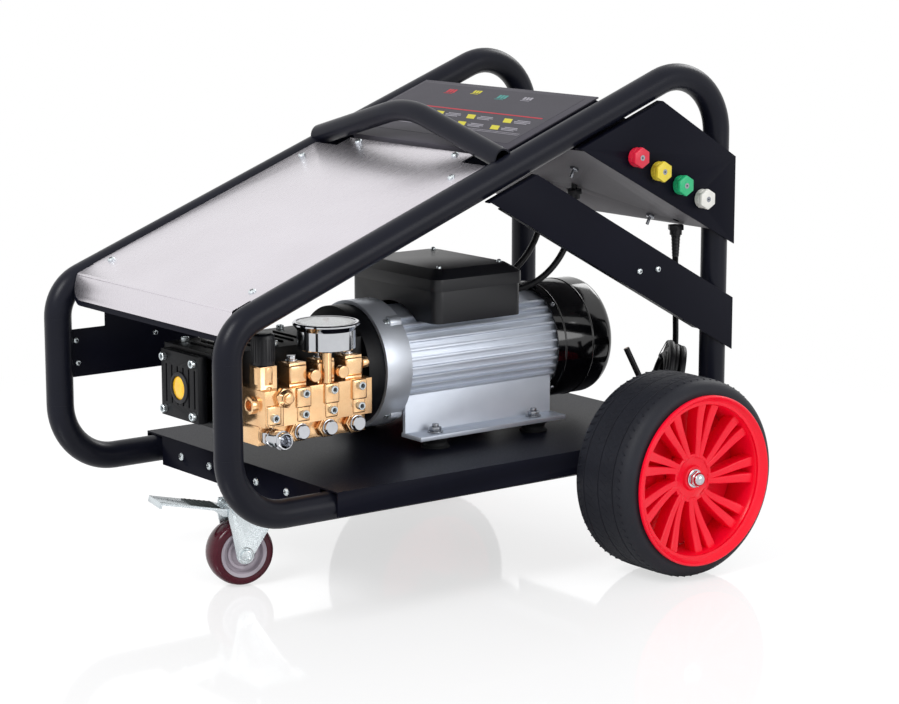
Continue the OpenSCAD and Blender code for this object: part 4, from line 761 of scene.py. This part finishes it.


# the black box, with painted floor light on its underside
softenedCopy("control_box", 0.5, "blackSheetPaint", "black_sheet", repaint=boxUnderside,
    second="paintedFloorLightGrey")
softenedCopy("box_lid", 0.5, "lidSheetPaint", "lid_sheet")
makeLegend(legendSet)
dress("contactor", "palePolymer")
softenedCopy("cable_glands", 0.4, "mouldedNylonBlack", "black_plastic")
softenedCopy("switch_knob", 0.8, "redLacquer", "red")

nozzleSet = {"colours": (("red", "acetalRed"), ("yellow", "acetalYellow"),
    ("green", "acetalGreen"), ("white", "acetalWhite")), "skirtR": 11.2, "skirtLen": 7.5,
    "hexR": 12.6, "hexLen": 5.6, "holeR": 3.4, "stemR": 5.5, "stemLen": 24}


def makeNozzles(s):
    skirt, length, stem, hole = s["skirtR"], s["skirtLen"], s["stemR"], s["holeR"]
    end = length + s["hexLen"]
    for colour, look in s["colours"]:
        node = "nozzle_" + colour
        low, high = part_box(node)
        x, z = (low.x + high.x) / 2 / mm, (low.z + high.z) / 2 / mm
        place = shift(x, -layout["plateOutY"] - 0.3, z) @ turned(90, "X")
        whole = bmesh.new()
        join(whole, ringPart([(stem, 0), (skirt - 0.8, 0), (skirt, 0.8), (skirt, length - 0.6),
            (skirt - 1, length), (stem, length)], 64), place)
        for i in range(16):  # grip flutes round the skirt
            join(whole, boxPart((skirt - 0.3, -0.7, 1), (skirt + 0.35, 0.7, 6.6)),
                place @ turned(22.5 * i, "Z"), 0, 0.2)
        join(whole, roundPart(s["hexR"], s["hexLen"], 6), further(place, length + 0.2), 0, 1.1, 3)
        join(whole, ringPart([(hole, 0.2), (hole + 1.4, 0.2), (hole + 1.4, 0.75), (hole, 0.75)],
            32), further(place, end - 0.35))
        join(whole, roundPart(hole, 0.25, 32), further(place, end + 0.1), 1)
        # a black dot painted as the shade in the orifice
        join(whole, roundPart(1.0, 0.3, 16), further(place, end + 0.3), 2)
        join(whole, ringPart([(1.6, -s["stemLen"]), (stem, -s["stemLen"]), (stem, -19),
            (stem - 1.2, -18.4), (stem - 1.2, -15), (stem, -14.4), (stem, 4), (1.6, 4)], 48),
            place, 3)
        standIn(node, whole, [look, "machinedSteel", "mattBlackAndPaintedShade", "machinedSteel"])


makeNozzles(nozzleSet)
print("control box dressed")

# ---- motor

motorSet = {"fanCoverX": 192, "fanCoverR": 72.5, "beads": (12, 55), "boltX": (2, 151),
    "mountY": 74, "mountH": 12, "mountR": 17}


def makeFanCoverBeads(s):  # rolled grooves that catch the light round the cover
    whole = bmesh.new()
    r = s["fanCoverR"]
    for z in s["beads"]:
        join(whole, ringPart([(r - 0.3, z - 1.6), (r + 0.5, z - 1.1), (r + 0.9, z - 0.3),
            (r + 0.9, z + 0.3), (r + 0.5, z + 1.1), (r - 0.3, z + 1.6)], 128),
            onDrive(s["fanCoverX"]), 2)
    for a in (45, 135, 225, 315):  # the cover's fixing screws
        panScrew(whole, onDrive(s["fanCoverX"] + 6) @ turned(a, "Z") @ shift(r - 0.4, 0, 0)
            @ turned(90, "Y"), 6)
    trim("fan_cover_beads", whole, ["machinedSteel", "mattBlackAndPaintedShade", "glossBlackEnamel"])


def makeMounts(s):
    whole = bmesh.new()
    for x in s["boltX"]:
        for side in (-1, 1):
            spot = shift(x, layout["driveY"] + side * s["mountY"], layout["trayTop"] + 0.3)
            r, h = s["mountR"], s["mountH"]
            join(whole, lathePart([(0, 0), (r, 0), (r, 1.6), (r - 2.2, 3), (r - 3.2, h / 2),
                (r - 2.2, h - 3), (r, h - 1.6), (r, h), (0, h)], 48), spot)
            top = further(spot, h + 5.3)
            join(whole, roundPart(9.5, 1.2, 32), further(top, 0.2), 1, 0.3)
            join(whole, roundPart(7.4, 5.2, 6), further(top, 1.4), 1, 0.7)
            join(whole, roundPart(4, 4, 24), further(top, 6), 1, 0.6)
            join(whole, roundPart(3.9, h + 6, 24), further(spot, 0.3), 1)
    standIn("rubber_mounts", whole, ["mountRubber", "machinedSteel"])


def makeMotor(s):
    for row in (("motor_housing", 0.5, "extrudedAluminium", "extrusion"),
            ("end_bell", 1.4, "castAluminiumPaint", "cast_silver", 3), ("rear_shield", 0.8,
            "castAluminiumPaint", "cast_silver"), ("fan_cover", 0.5, "glossBlackEnamel",
            "black_gloss"), ("terminal_box", 1.6, "mouldedNylonBlack", "black_plastic", 3),
            ("terminal_lid", 1.2, "mouldedNylonBlack", "black_plastic", 3)):
        softenedCopy(*row)
    makeFanCoverBeads(s)
    makeMounts(s)
    for node, name in (("stator", "copperWindings"), ("rotor", "machinedSteel"),
            ("cooling_fan", "mouldedNylonBlack"), ("capacitors", "palePolymer"),
            ("bearings", "machinedSteel")):
        dress(node, name)
    whole = bmesh.new()  # tie bolts through the end bell's lugs, and screws on the terminal lid
    for a in (42, 138, 222, 318):
        spot = onDrive(-68.3) @ turned(a, "Z") @ shift(72, 0, 18.5) @ turned(180, "X")
        join(whole, roundPart(6, 1, 32), spot, 0, 0.3)
        join(whole, roundPart(5.2, 5, 6), further(spot, 1), 0, 0.5)
    for x in (14, 104):
        for y in (-73, 57):
            panScrew(whole, shift(x, y, 359.3), 6)
    trim("motor_fasteners", whole, screwLooks)


makeMotor(motorSet)
print("motor dressed")

# ---- pump

pumpSet = {"cylinders": (-210, -172, -134), "headFrontY": -118.3, "columnY": -97.3,
    "manifoldY": -104.3, "inletZ": 200.9, "columnTop": 277.9, "manifoldX": -261,
    "unloaderX": -248.7, "caseX": -290, "caseTop": 288.9}


def makeHeadDetails(s):  # the forging's pads, collars and side plugs
    whole = bmesh.new()
    front = s["headFrontY"]
    for x in s["cylinders"]:
        # upright pad on each column, with its waist
        join(whole, boxPart((x - 10, front - 3.2, 229), (x + 10, -99, 252.4)), None, 0, 2.2, 3)
        join(whole, boxPart((x - 11.6, -110.4, 254), (x + 11.6, -84.5, 275.5)), None, 0, 2.6, 3)
        join(whole, boxPart((x - 8.5, front - 1.4, 213), (x + 8.5, -100, 231)), None, 0, 1.8, 3)
        join(whole, roundPart(13.4, 5, 6), shift(x, s["manifoldY"] - 2.2, s["inletZ"]) @ turned(90,
            "X") @ turned(30, "Z"), 0, 1.1, 3)
        join(whole, roundPart(9.6, 3.2, 6), shift(x, s["columnY"], s["columnTop"] - 2.6), 0, 0.8)
    for a, b in zip(s["cylinders"], s["cylinders"][1:]):
        mid = (a + b) / 2
        join(whole, roundPart(7.4, 9), shift(mid, -108, 262) @ turned(90, "X"), 0, 1.2, 3)
        join(whole, boxPart((mid - 8.2, front + 1.2, 232), (mid + 8.2, -108, 243)), None, 0, 2, 3)
    # rounded end plug of the gallery behind the last column
    join(whole, roundPart(6.5, 9), shift(-117.5, -98, 266) @ turned(90, "Y"), 0, 1.6, 3)
    trim("head_details", whole, ["machinedBrass"])


def makeUnloaderDetails(s):  # big hexagons and cones of the regulating valve
    whole = bmesh.new()
    x, y = s["unloaderX"], s["columnY"]
    join(whole, roundPart(12.2, 20, 64), shift(x, y, 257), 0, 1, 3)
    join(whole, roundPart(13.2, 9, 6), shift(x, y, 246), 0, 1.2, 3)
    spot = shift(-236.5, s["headFrontY"] + 1, 243.5) @ turned(90, "X")
    join(whole, roundPart(12.4, 7, 6), spot @ turned(18, "Z"), 0, 1.3, 3)
    join(whole, roundPart(10.2, 5, 48, 6.6), further(spot, 6.6), 0, 0.8, 3)
    join(whole, roundPart(6.2, 3, 6), further(spot, 11.4), 0, 0.7)
    join(whole, boxPart((-259.8, s["headFrontY"] - 2.6, 213), (-240, -100, 236)), None, 0, 2.4, 3)
    trim("unloader_details", whole, ["machinedBrass"])


def makeValvePlugs(s):
    whole = bmesh.new()
    for x in s["cylinders"]:
        spot = shift(x, s["manifoldY"] - 9.3, s["inletZ"]) @ turned(90, "X")
        join(whole, roundPart(9.4, 2, 64), spot, 0, 0.5)
        join(whole, lathePart([(0, 2), (8.4, 2), (8.4, 5.8), (7.3, 6.9), (0, 6.9)], 64), spot)
        top = shift(x, s["columnY"] + 2, s["columnTop"] + 0.5)
        join(whole, roundPart(7, 1.4, 32), top, 0, 0.3)
        join(whole, roundPart(5.8, 5, 6), further(top, 1.3) @ turned(14, "Z"), 0, 0.8, 3)
    standIn("valve_plugs", whole, ["chromePlate"])


def makePumpScrews(s):
    whole = bmesh.new()
    front, drive, case = s["headFrontY"] - 0.3, layout["driveZ"], s["caseX"]
    for x in s["cylinders"]:
        capScrew(whole, shift(x, front - 3.1, drive + 0.5) @ turned(90, "X"), 9.4)
    for x in (s["manifoldX"] + 11, *s["cylinders"]):
        capScrew(whole, shift(x, front - 1.6, drive - 23) @ turned(90, "X"), 9.4)
    for y in (-31, 31):
        for z in (-30, 30):
            capScrew(whole, shift(case - 12.7, layout["driveY"] + y, drive + 2 + z) @ turned(-90,
                "Y"), 9.4)
    for x in (case + 20, case + 86, case + 150):
        for y in (-52, 32):
            capScrew(whole, shift(x, y, s["caseTop"] + 0.3), 9)
    standIn("pump_screws", whole, screwLooks)


def makeInlet(s):
    whole = bmesh.new()
    spot = shift(s["manifoldX"] + 13, s["manifoldY"] - 0.3, s["inletZ"] - 2) @ turned(90, "X")
    join(whole, roundPart(11.6, 9, 6), spot, 0, 1, 3)
    join(whole, ringPart([(7.5, 4), (10.4, 9), (10.4, 12), (9.6, 13), (9.6, 25), (11, 26.2),
        (11, 29.2), (9.6, 30.4), (9.6, 35), (9, 35.9), (7.9, 36), (7.5, 35.4)], 64), spot)
    # a black disc painted as the shade down the bore
    join(whole, roundPart(7.4, 0.6), further(spot, 5), 1)
    standIn("inlet_fitting", whole, ["chromePlate", "mattBlackAndPaintedShade"])


def makeSightGlass(s):
    whole = bmesh.new()
    spot = onDrive(s["caseX"] - 12.3) @ turned(180, "X")
    join(whole, ringPart([(13.4, 0.1), (18, 0.1), (18, 1.4), (16, 2.8), (14, 2.8), (13.4, 1.8)],
        64), spot, 1)
    join(whole, lathePart([(0, 2.4), (7, 2.2), (11.4, 1.6), (13.6, 0.3), (11.8, 0.2), (11.8, -3.6),
        (0, -3.6)], 64), spot)
    standIn("sight_glass", whole, ["amberSightGlass", "mattBlackAndPaintedShade"])


knobSet = {"place": (-248.7, -97.3, 278.5), "r": 13, "h": 36, "ribs": 24}


def makeKnob(s):
    whole = bmesh.new()
    r, h = s["r"], s["h"]
    spot = shift(*s["place"])
    join(whole, lathePart([(6.8, 0), (r - 0.8, 0), (r, 1), (r, h - 3), (r - 0.8, h - 1.4),
        (r - 3, h), (0, h + 0.2)], 72), spot)
    join(whole, lathePart([(0, h), (r - 4, h + 0.1), (r - 4.4, h - 0.6), (0, h - 0.6)], 48), spot)
    for i in range(s["ribs"]):
        join(whole, boxPart((r - 0.6, -0.7, 4), (r + 0.6, 0.7, h - 6)),
            spot @ turned(360 / s["ribs"] * i, "Z"), 0, 0.4)
    standIn("unloader_knob", whole, ["mouldedNylonBlack"])


gaugeSet = {"place": (-174, -112.3, 290.9), "r": 33, "bezelR": 38, "h": 31, "dialZ": 19,
    "numbers": ("0", "5", "10", "15", "20", "25"), "sweep": 270, "first": 225, "numberR": 16,
    "numberSize": 5.4, "ticks": 50}


def makeGauge(s):
    spot = shift(*s["place"])
    r, big, h, face = s["r"], s["bezelR"], s["h"], s["dialZ"]
    case = bmesh.new()
    join(case, lathePart([(0, 0), (r - 2, 0), (r, 1.6), (r, h - 9), (r + 1, h - 7.6),
        (big - 1.5, h - 4.6), (big, h - 3), (big, h - 1.4), (big - 1.4, h), (big - 3.4, h),
        (r, h - 1.6), (r - 3, h - 1.8), (r - 3, face), (0, face)], 128), spot)
    standIn("gauge_case", case, ["chromePlate"])
    dial = bmesh.new()
    join(dial, roundPart(r - 3.2, 0.3, 96), further(spot, face))
    for i in range(s["ticks"] + 1):
        angle = s["first"] - s["sweep"] * i / s["ticks"]
        long, wide = (4.5, 0.4) if i % 10 == 0 else (2.4, 0.2)
        join(dial, boxPart((r - 4.6 - long, -wide, 0), (r - 4.6, wide, 0.1)),
            further(spot, face + 0.3) @ turned(angle, "Z"), 1)
    trim("gauge_dial", dial, ["dialWhite", "mattBlackAndPaintedShade"])
    for i, number in enumerate(s["numbers"]):
        angle = radians(s["first"] - s["sweep"] * i / (len(s["numbers"]) - 1))
        text = bpy.data.curves.new("dialNumber", "FONT")
        text.body = number
        text.size = s["numberSize"]
        text.align_x, text.align_y = "CENTER", "CENTER"
        holder = linked("dialNumber", text)
        bpy.context.view_layer.update()
        drawn = holder.evaluated_get(bpy.context.evaluated_depsgraph_get())
        mesh = bpy.data.meshes.new_from_object(drawn)
        bpy.data.objects.remove(holder)
        bpy.data.curves.remove(text)
        number3d = bmesh.new()
        number3d.from_mesh(mesh)
        bpy.data.meshes.remove(mesh)
        number3d.transform(spot @ shift(s["numberR"] * cos(angle), s["numberR"] * sin(angle),
            face + 0.36))
        trim(f"dial_number_{i + 1}", number3d, ["mattBlackAndPaintedShade"])
    dress("gauge_glass", "clearAcrylic")
    dress("gauge_needle", "redLacquer")


def makePump(s):
    softenedCopy("crankcase", 2.4, "blackCasting", "black_cast", 3)
    softenedCopy("end_cover", 1.1, "blackCasting", "black_cast")
    softenedCopy("pump_head", 1.5, "machinedBrass", "brass", 3)
    softenedCopy("unloader_body", 1.5, "machinedBrass", "brass", 3)
    for node in ("crankshaft", "plunger_1", "plunger_2", "plunger_3"):
        dress(node, "machinedSteel")
    makeHeadDetails(s)
    makeUnloaderDetails(s)
    makeValvePlugs(s)
    makePumpScrews(s)
    makeInlet(s)
    makeSightGlass(s)
    makeKnob(knobSet)
    makeGauge(gaugeSet)
    whole = bmesh.new()  # filler cap and cooling ribs on the crankcase
    top = s["caseTop"]
    cap = shift(-240, layout["driveY"], top)
    join(whole, lathePart([(0, 0), (12.8, 0), (12.8, 9), (11.4, 12.4), (8, 12.9), (0, 12.9)], 48),
        cap)
    for i in range(12):
        join(whole, boxPart((12.2, -1.2, 1), (13.6, 1.2, 10)), cap @ turned(30 * i, "Z"), 0, 0.4)
    for x in (-268, -254, -226, -212, -198, -184, -170, -156):
        join(whole, boxPart((x - 1.5, -40, top - 0.5), (x + 1.5, 22, top + 2.4)), None, 0, 0.9)
    trim("crankcase_details", whole, ["blackCasting"])


makePump(pumpSet)
print("pump dressed")

# ---- rear wheels

wheelSet = {"tyreIn": 206, "tyreW": 98, "tyreR": 118, "rimR": 101, "seatR": 91, "faceY": 311,
    "hubFace": 287, "pairs": 9, "startDeg": -5, "split": 5.8, "curl": 9, "spokeIn": 24,
    "spokeOut": 89.5, "spokeTop": 289, "spokeRise": 8, "spokeDeep": 18, "spokeHalfIn": 3.4,
    "spokeHalfOut": 6.2, "webY": 257, "blocks": 72}


def makeTyre(s, side, node):
    a, w, r, seat = s["tyreIn"], s["tyreW"], s["tyreR"], s["seatR"] + 0.4
    whole = bmesh.new()
    profile = [(seat, a), (seat + 8, a), (seat + 14, a + 1.6), (r - 4, a + 6), (r - 1.4, a + 11)]
    for z in (24, 49, 74):  # three shallow grooves round the tread
        profile += [(r, a + z - 1.3), (r - 1, a + z - 0.9), (r - 1, a + z + 0.5), (r, a + z + 0.9)]
    profile += [(r - 0.5, a + w - 17), (r - 1.6, a + w - 11), (r - 3.6, a + w - 6.4),
        (r - 6.6, a + w - 3), (r - 9.6, a + w - 1), (seat + 14.6, a + w - 0.1), (seat + 12, a + w),
        (seat, a + w)]
    join(whole, ringPart(profile, 160), onWheel(side))
    # fine slanted blocks on the tread's ribs
    for row, (z, slant) in enumerate(((16, 30), (32, -30), (41, 30), (57, -30), (66, 30),
            (80, -30))):
        for i in range(s["blocks"]):
            place = (turned(360 / s["blocks"] * (i + 0.5 * (row % 2)), "Z")
                @ shift(r - 0.05 if 20 < z < 80 else r - 0.6, 0, a + z) @ turned(90, "Y")
                @ turned(90 + slant, "Z"))
            join(whole, boxPart((-0.9, -5.6, -1.2), (0.9, 5.6, 0.25)), onWheel(side) @ place)
    standIn(node, whole, ["tyreRubber"], smoothDeg=40)


def spokePart(s, turnDeg, lean):
    part = bmesh.new()
    ops.create_grid(part, x_segments=10, y_segments=1, size=1)
    for v in part.verts:
        u = (v.co.x + 1) / 2
        radius = s["spokeIn"] + (s["spokeOut"] - s["spokeIn"]) * u
        half = s["spokeHalfIn"] + (s["spokeHalfOut"] - s["spokeHalfIn"]) * u
        bend = radians(turnDeg + lean * sin(u * pi / 2))
        across = v.co.y * half / radius
        rise = s["spokeRise"] * u * u
        v.co = (radius * cos(bend + across), radius * sin(bend + across), rise)
    return drawnUp(part, s["spokeDeep"])


def makeRim(s, side, node):
    whole = bmesh.new()
    place = onWheel(side)
    r, seat, face, hub = s["rimR"], s["seatR"], s["faceY"], s["hubFace"]
    inner, web = s["tyreIn"] + 4, s["webY"]
    # barrel with its rolled lip
    join(whole, ringPart([(seat - 4, inner), (seat - 1, inner), (seat - 1, 304.4), (seat + 2, 305),
        (r - 1.2, 305), (r, 306.2), (r, face - 1.6), (r - 1.1, face - 0.2), (r - 2.4, face),
        (r - 3.6, face - 1.2), (r - 4.6, face - 3.4), (seat + 2.2, face - 6),
        (seat - 0.6, face - 9), (seat - 2.6, face - 14), (seat - 4, hub - 4)], 160), place)
    # floor of the dish, stepping in to the hub
    join(whole, ringPart([(21, web), (seat - 5, web), (seat - 5, web + 4), (34, web + 4),
        (30, web + 12), (21, web + 12)], 128), place)
    # hub barrel, its flat disc and the collar the spokes run into
    join(whole, ringPart([(8.1, hub - 56), (22, hub - 56), (22, hub - 18), (29, hub - 14),
        (30, hub - 3), (28.4, hub + 1.2), (26, hub + 1.8), (24, hub + 0.4), (15.4, hub - 0.4),
        (13.6, hub + 2.8), (12.4, hub + 3.4), (10.4, hub + 3.4), (8.1, hub + 2.6)], 96), place)
    for i in range(s["pairs"]):
        for way in (-1, 1):
            # both spokes of a pair curl the same way, the outer one more
            at = s["startDeg"] + 360 / s["pairs"] * i + way * s["split"]
            spoke = spokePart(s, at - s["curl"] * 0.5, s["curl"] + way * 0.8)
            join(whole, spoke, further(place, s["spokeTop"] - s["spokeDeep"]), 0, 1.6, 3)
    standIn(node, whole, ["redRimPlastic"])


def makeAxle(s):
    whole = bmesh.new()
    hub = s["hubFace"]
    join(whole, roundPart(8, 2 * (hub + 3.6)), shift(layout["axleX"], hub + 3.6, layout["axleZ"])
        @ turned(90, "X"), 0, 0.8)
    for side in (-1, 1):
        place = onWheel(side)
        join(whole, lathePart([(0, hub + 3.7), (10.8, hub + 3.7), (10.8, hub + 4.9),
            (9.6, hub + 5.3), (0, hub + 5.3)], 64), place, 1)
        join(whole, roundPart(10, 5, 6), further(place, hub + 5.3), 1, 0.8, 3)
        join(whole, lathePart([(0, hub + 10.3), (8.2, hub + 10.3), (8, hub + 12.6),
            (6.4, hub + 15.2), (3.6, hub + 16.7), (0, hub + 17)], 48), place, 1)
        join(whole, roundPart(13, hub - 56 - 0.3 - 201.6), further(place, 201.6), 0, 0.6)
    standIn("rear_axle", whole, ["machinedSteel", "chromePlate"])


for side, name in ((-1, "left"), (1, "right")):
    makeTyre(wheelSet, side, name + "_tyre")
    makeRim(wheelSet, side, name + "_rim")
makeAxle(wheelSet)
print("rear wheels made")

# ---- caster

casterSet = {"r": 39, "w": 32, "trail": 30, "coreR": 28.2, "legOut": 20.5, "hinge": (-42, 92),
    "pedalRiseDeg": 11.5}


def makeCaster(s):
    hub = onCaster() @ shift(-s["trail"], 0, s["r"]) @ turned(90, "X")
    r, half, c = s["r"], s["w"] / 2, s["coreR"]
    tread = bmesh.new()
    join(tread, ringPart([(c + 0.2, -half), (r - 6, -half), (r - 3.4, -half + 1.4),
        (r - 1.4, -half + 4.6), (r - 0.2, -half + 11), (r, 0), (r - 0.2, half - 11),
        (r - 1.4, half - 4.6), (r - 3.4, half - 1.4), (r - 6, half), (c + 0.2, half)], 128), hub)
    standIn("caster_tread", tread, ["castPolyurethane"], smoothDeg=45)
    core = bmesh.new()
    profile = [(4.1, -half), (9, -half), (9.8, -half + 5), (14.6, -half + 5.4),
        (15.2, -half + 3.4), (18.4, -half + 3.2), (19.2, -half + 6), (22.4, -half + 6.4),
        (24, -half + 1), (c - 0.2, -half)]
    join(core, ringPart(profile + [(x, -z) for x, z in reversed(profile)]), hub)
    standIn("caster_core", core, ["paleNylonCore"])
    softenedCopy("caster_plate", 0.5, "zincPlated", "zinc")
    softenedCopy("caster_fork", 0.6, "zincPlated", "zinc")
    nut = bmesh.new()  # flanged axle nuts and the swivel's ball race
    for side in (-1, 1):
        spot = further(hub @ turned(0 if side > 0 else 180, "X"), s["legOut"] - 1)
        join(nut, lathePart([(0, 0.8), (9.4, 0.8), (9.4, 2.2), (8.4, 2.9), (0, 2.9)], 48), spot)
        join(nut, lathePart([(4, 2.6), (6.8, 2.6), (6.6, 6.2), (5.6, 6.8), (4.4, 6.8), (4, 6)],
            48), spot)
    race = onCaster() @ shift(0, 0, 100)
    join(nut, ringPart([(20, 0), (27.6, 0.4), (29.4, 2.4), (29.4, 5.6), (27.8, 7.4), (20, 7.6)],
        64), further(race, 1.4))
    finishPiece("caster_details", nut, ["zincPlated"], "caster_swivel", ())
    softenedCopy("brake_pedal", 0.8, "zincPlated", "pedal", sharpDeg=30)
    clip = bmesh.new()  # rolled eyes of the pedal and its ribbed pad
    hinge = onCaster() @ shift(s["hinge"][0], 0, s["hinge"][1])
    plate = hinge @ turned(s["pedalRiseDeg"], "Y")
    join(clip, boxPart((-54, -17.5, 1.4), (-17, 17.5, 2.3)), plate, 1, 0.4)
    for k in range(6):
        join(clip, boxPart((-51 + 6 * k, -16, 2.2), (-48.4 + 6 * k, 16, 2.8)), plate, 1, 0.2)
    for side in (-1, 1):
        join(clip, ringPart([(3.1, -3.4), (7, -3.4), (7.4, -2.6), (7.4, 2.6), (7, 3.4),
            (3.1, 3.4)], 48), hinge @ shift(0, side * 17, 0) @ turned(90, "X"))
    finishPiece("pedal_eyes", clip, ["zincPlated", "pedalPadRubber"], bodyOf["brake_pedal"], ())


makeCaster(casterSet)
print("caster made")
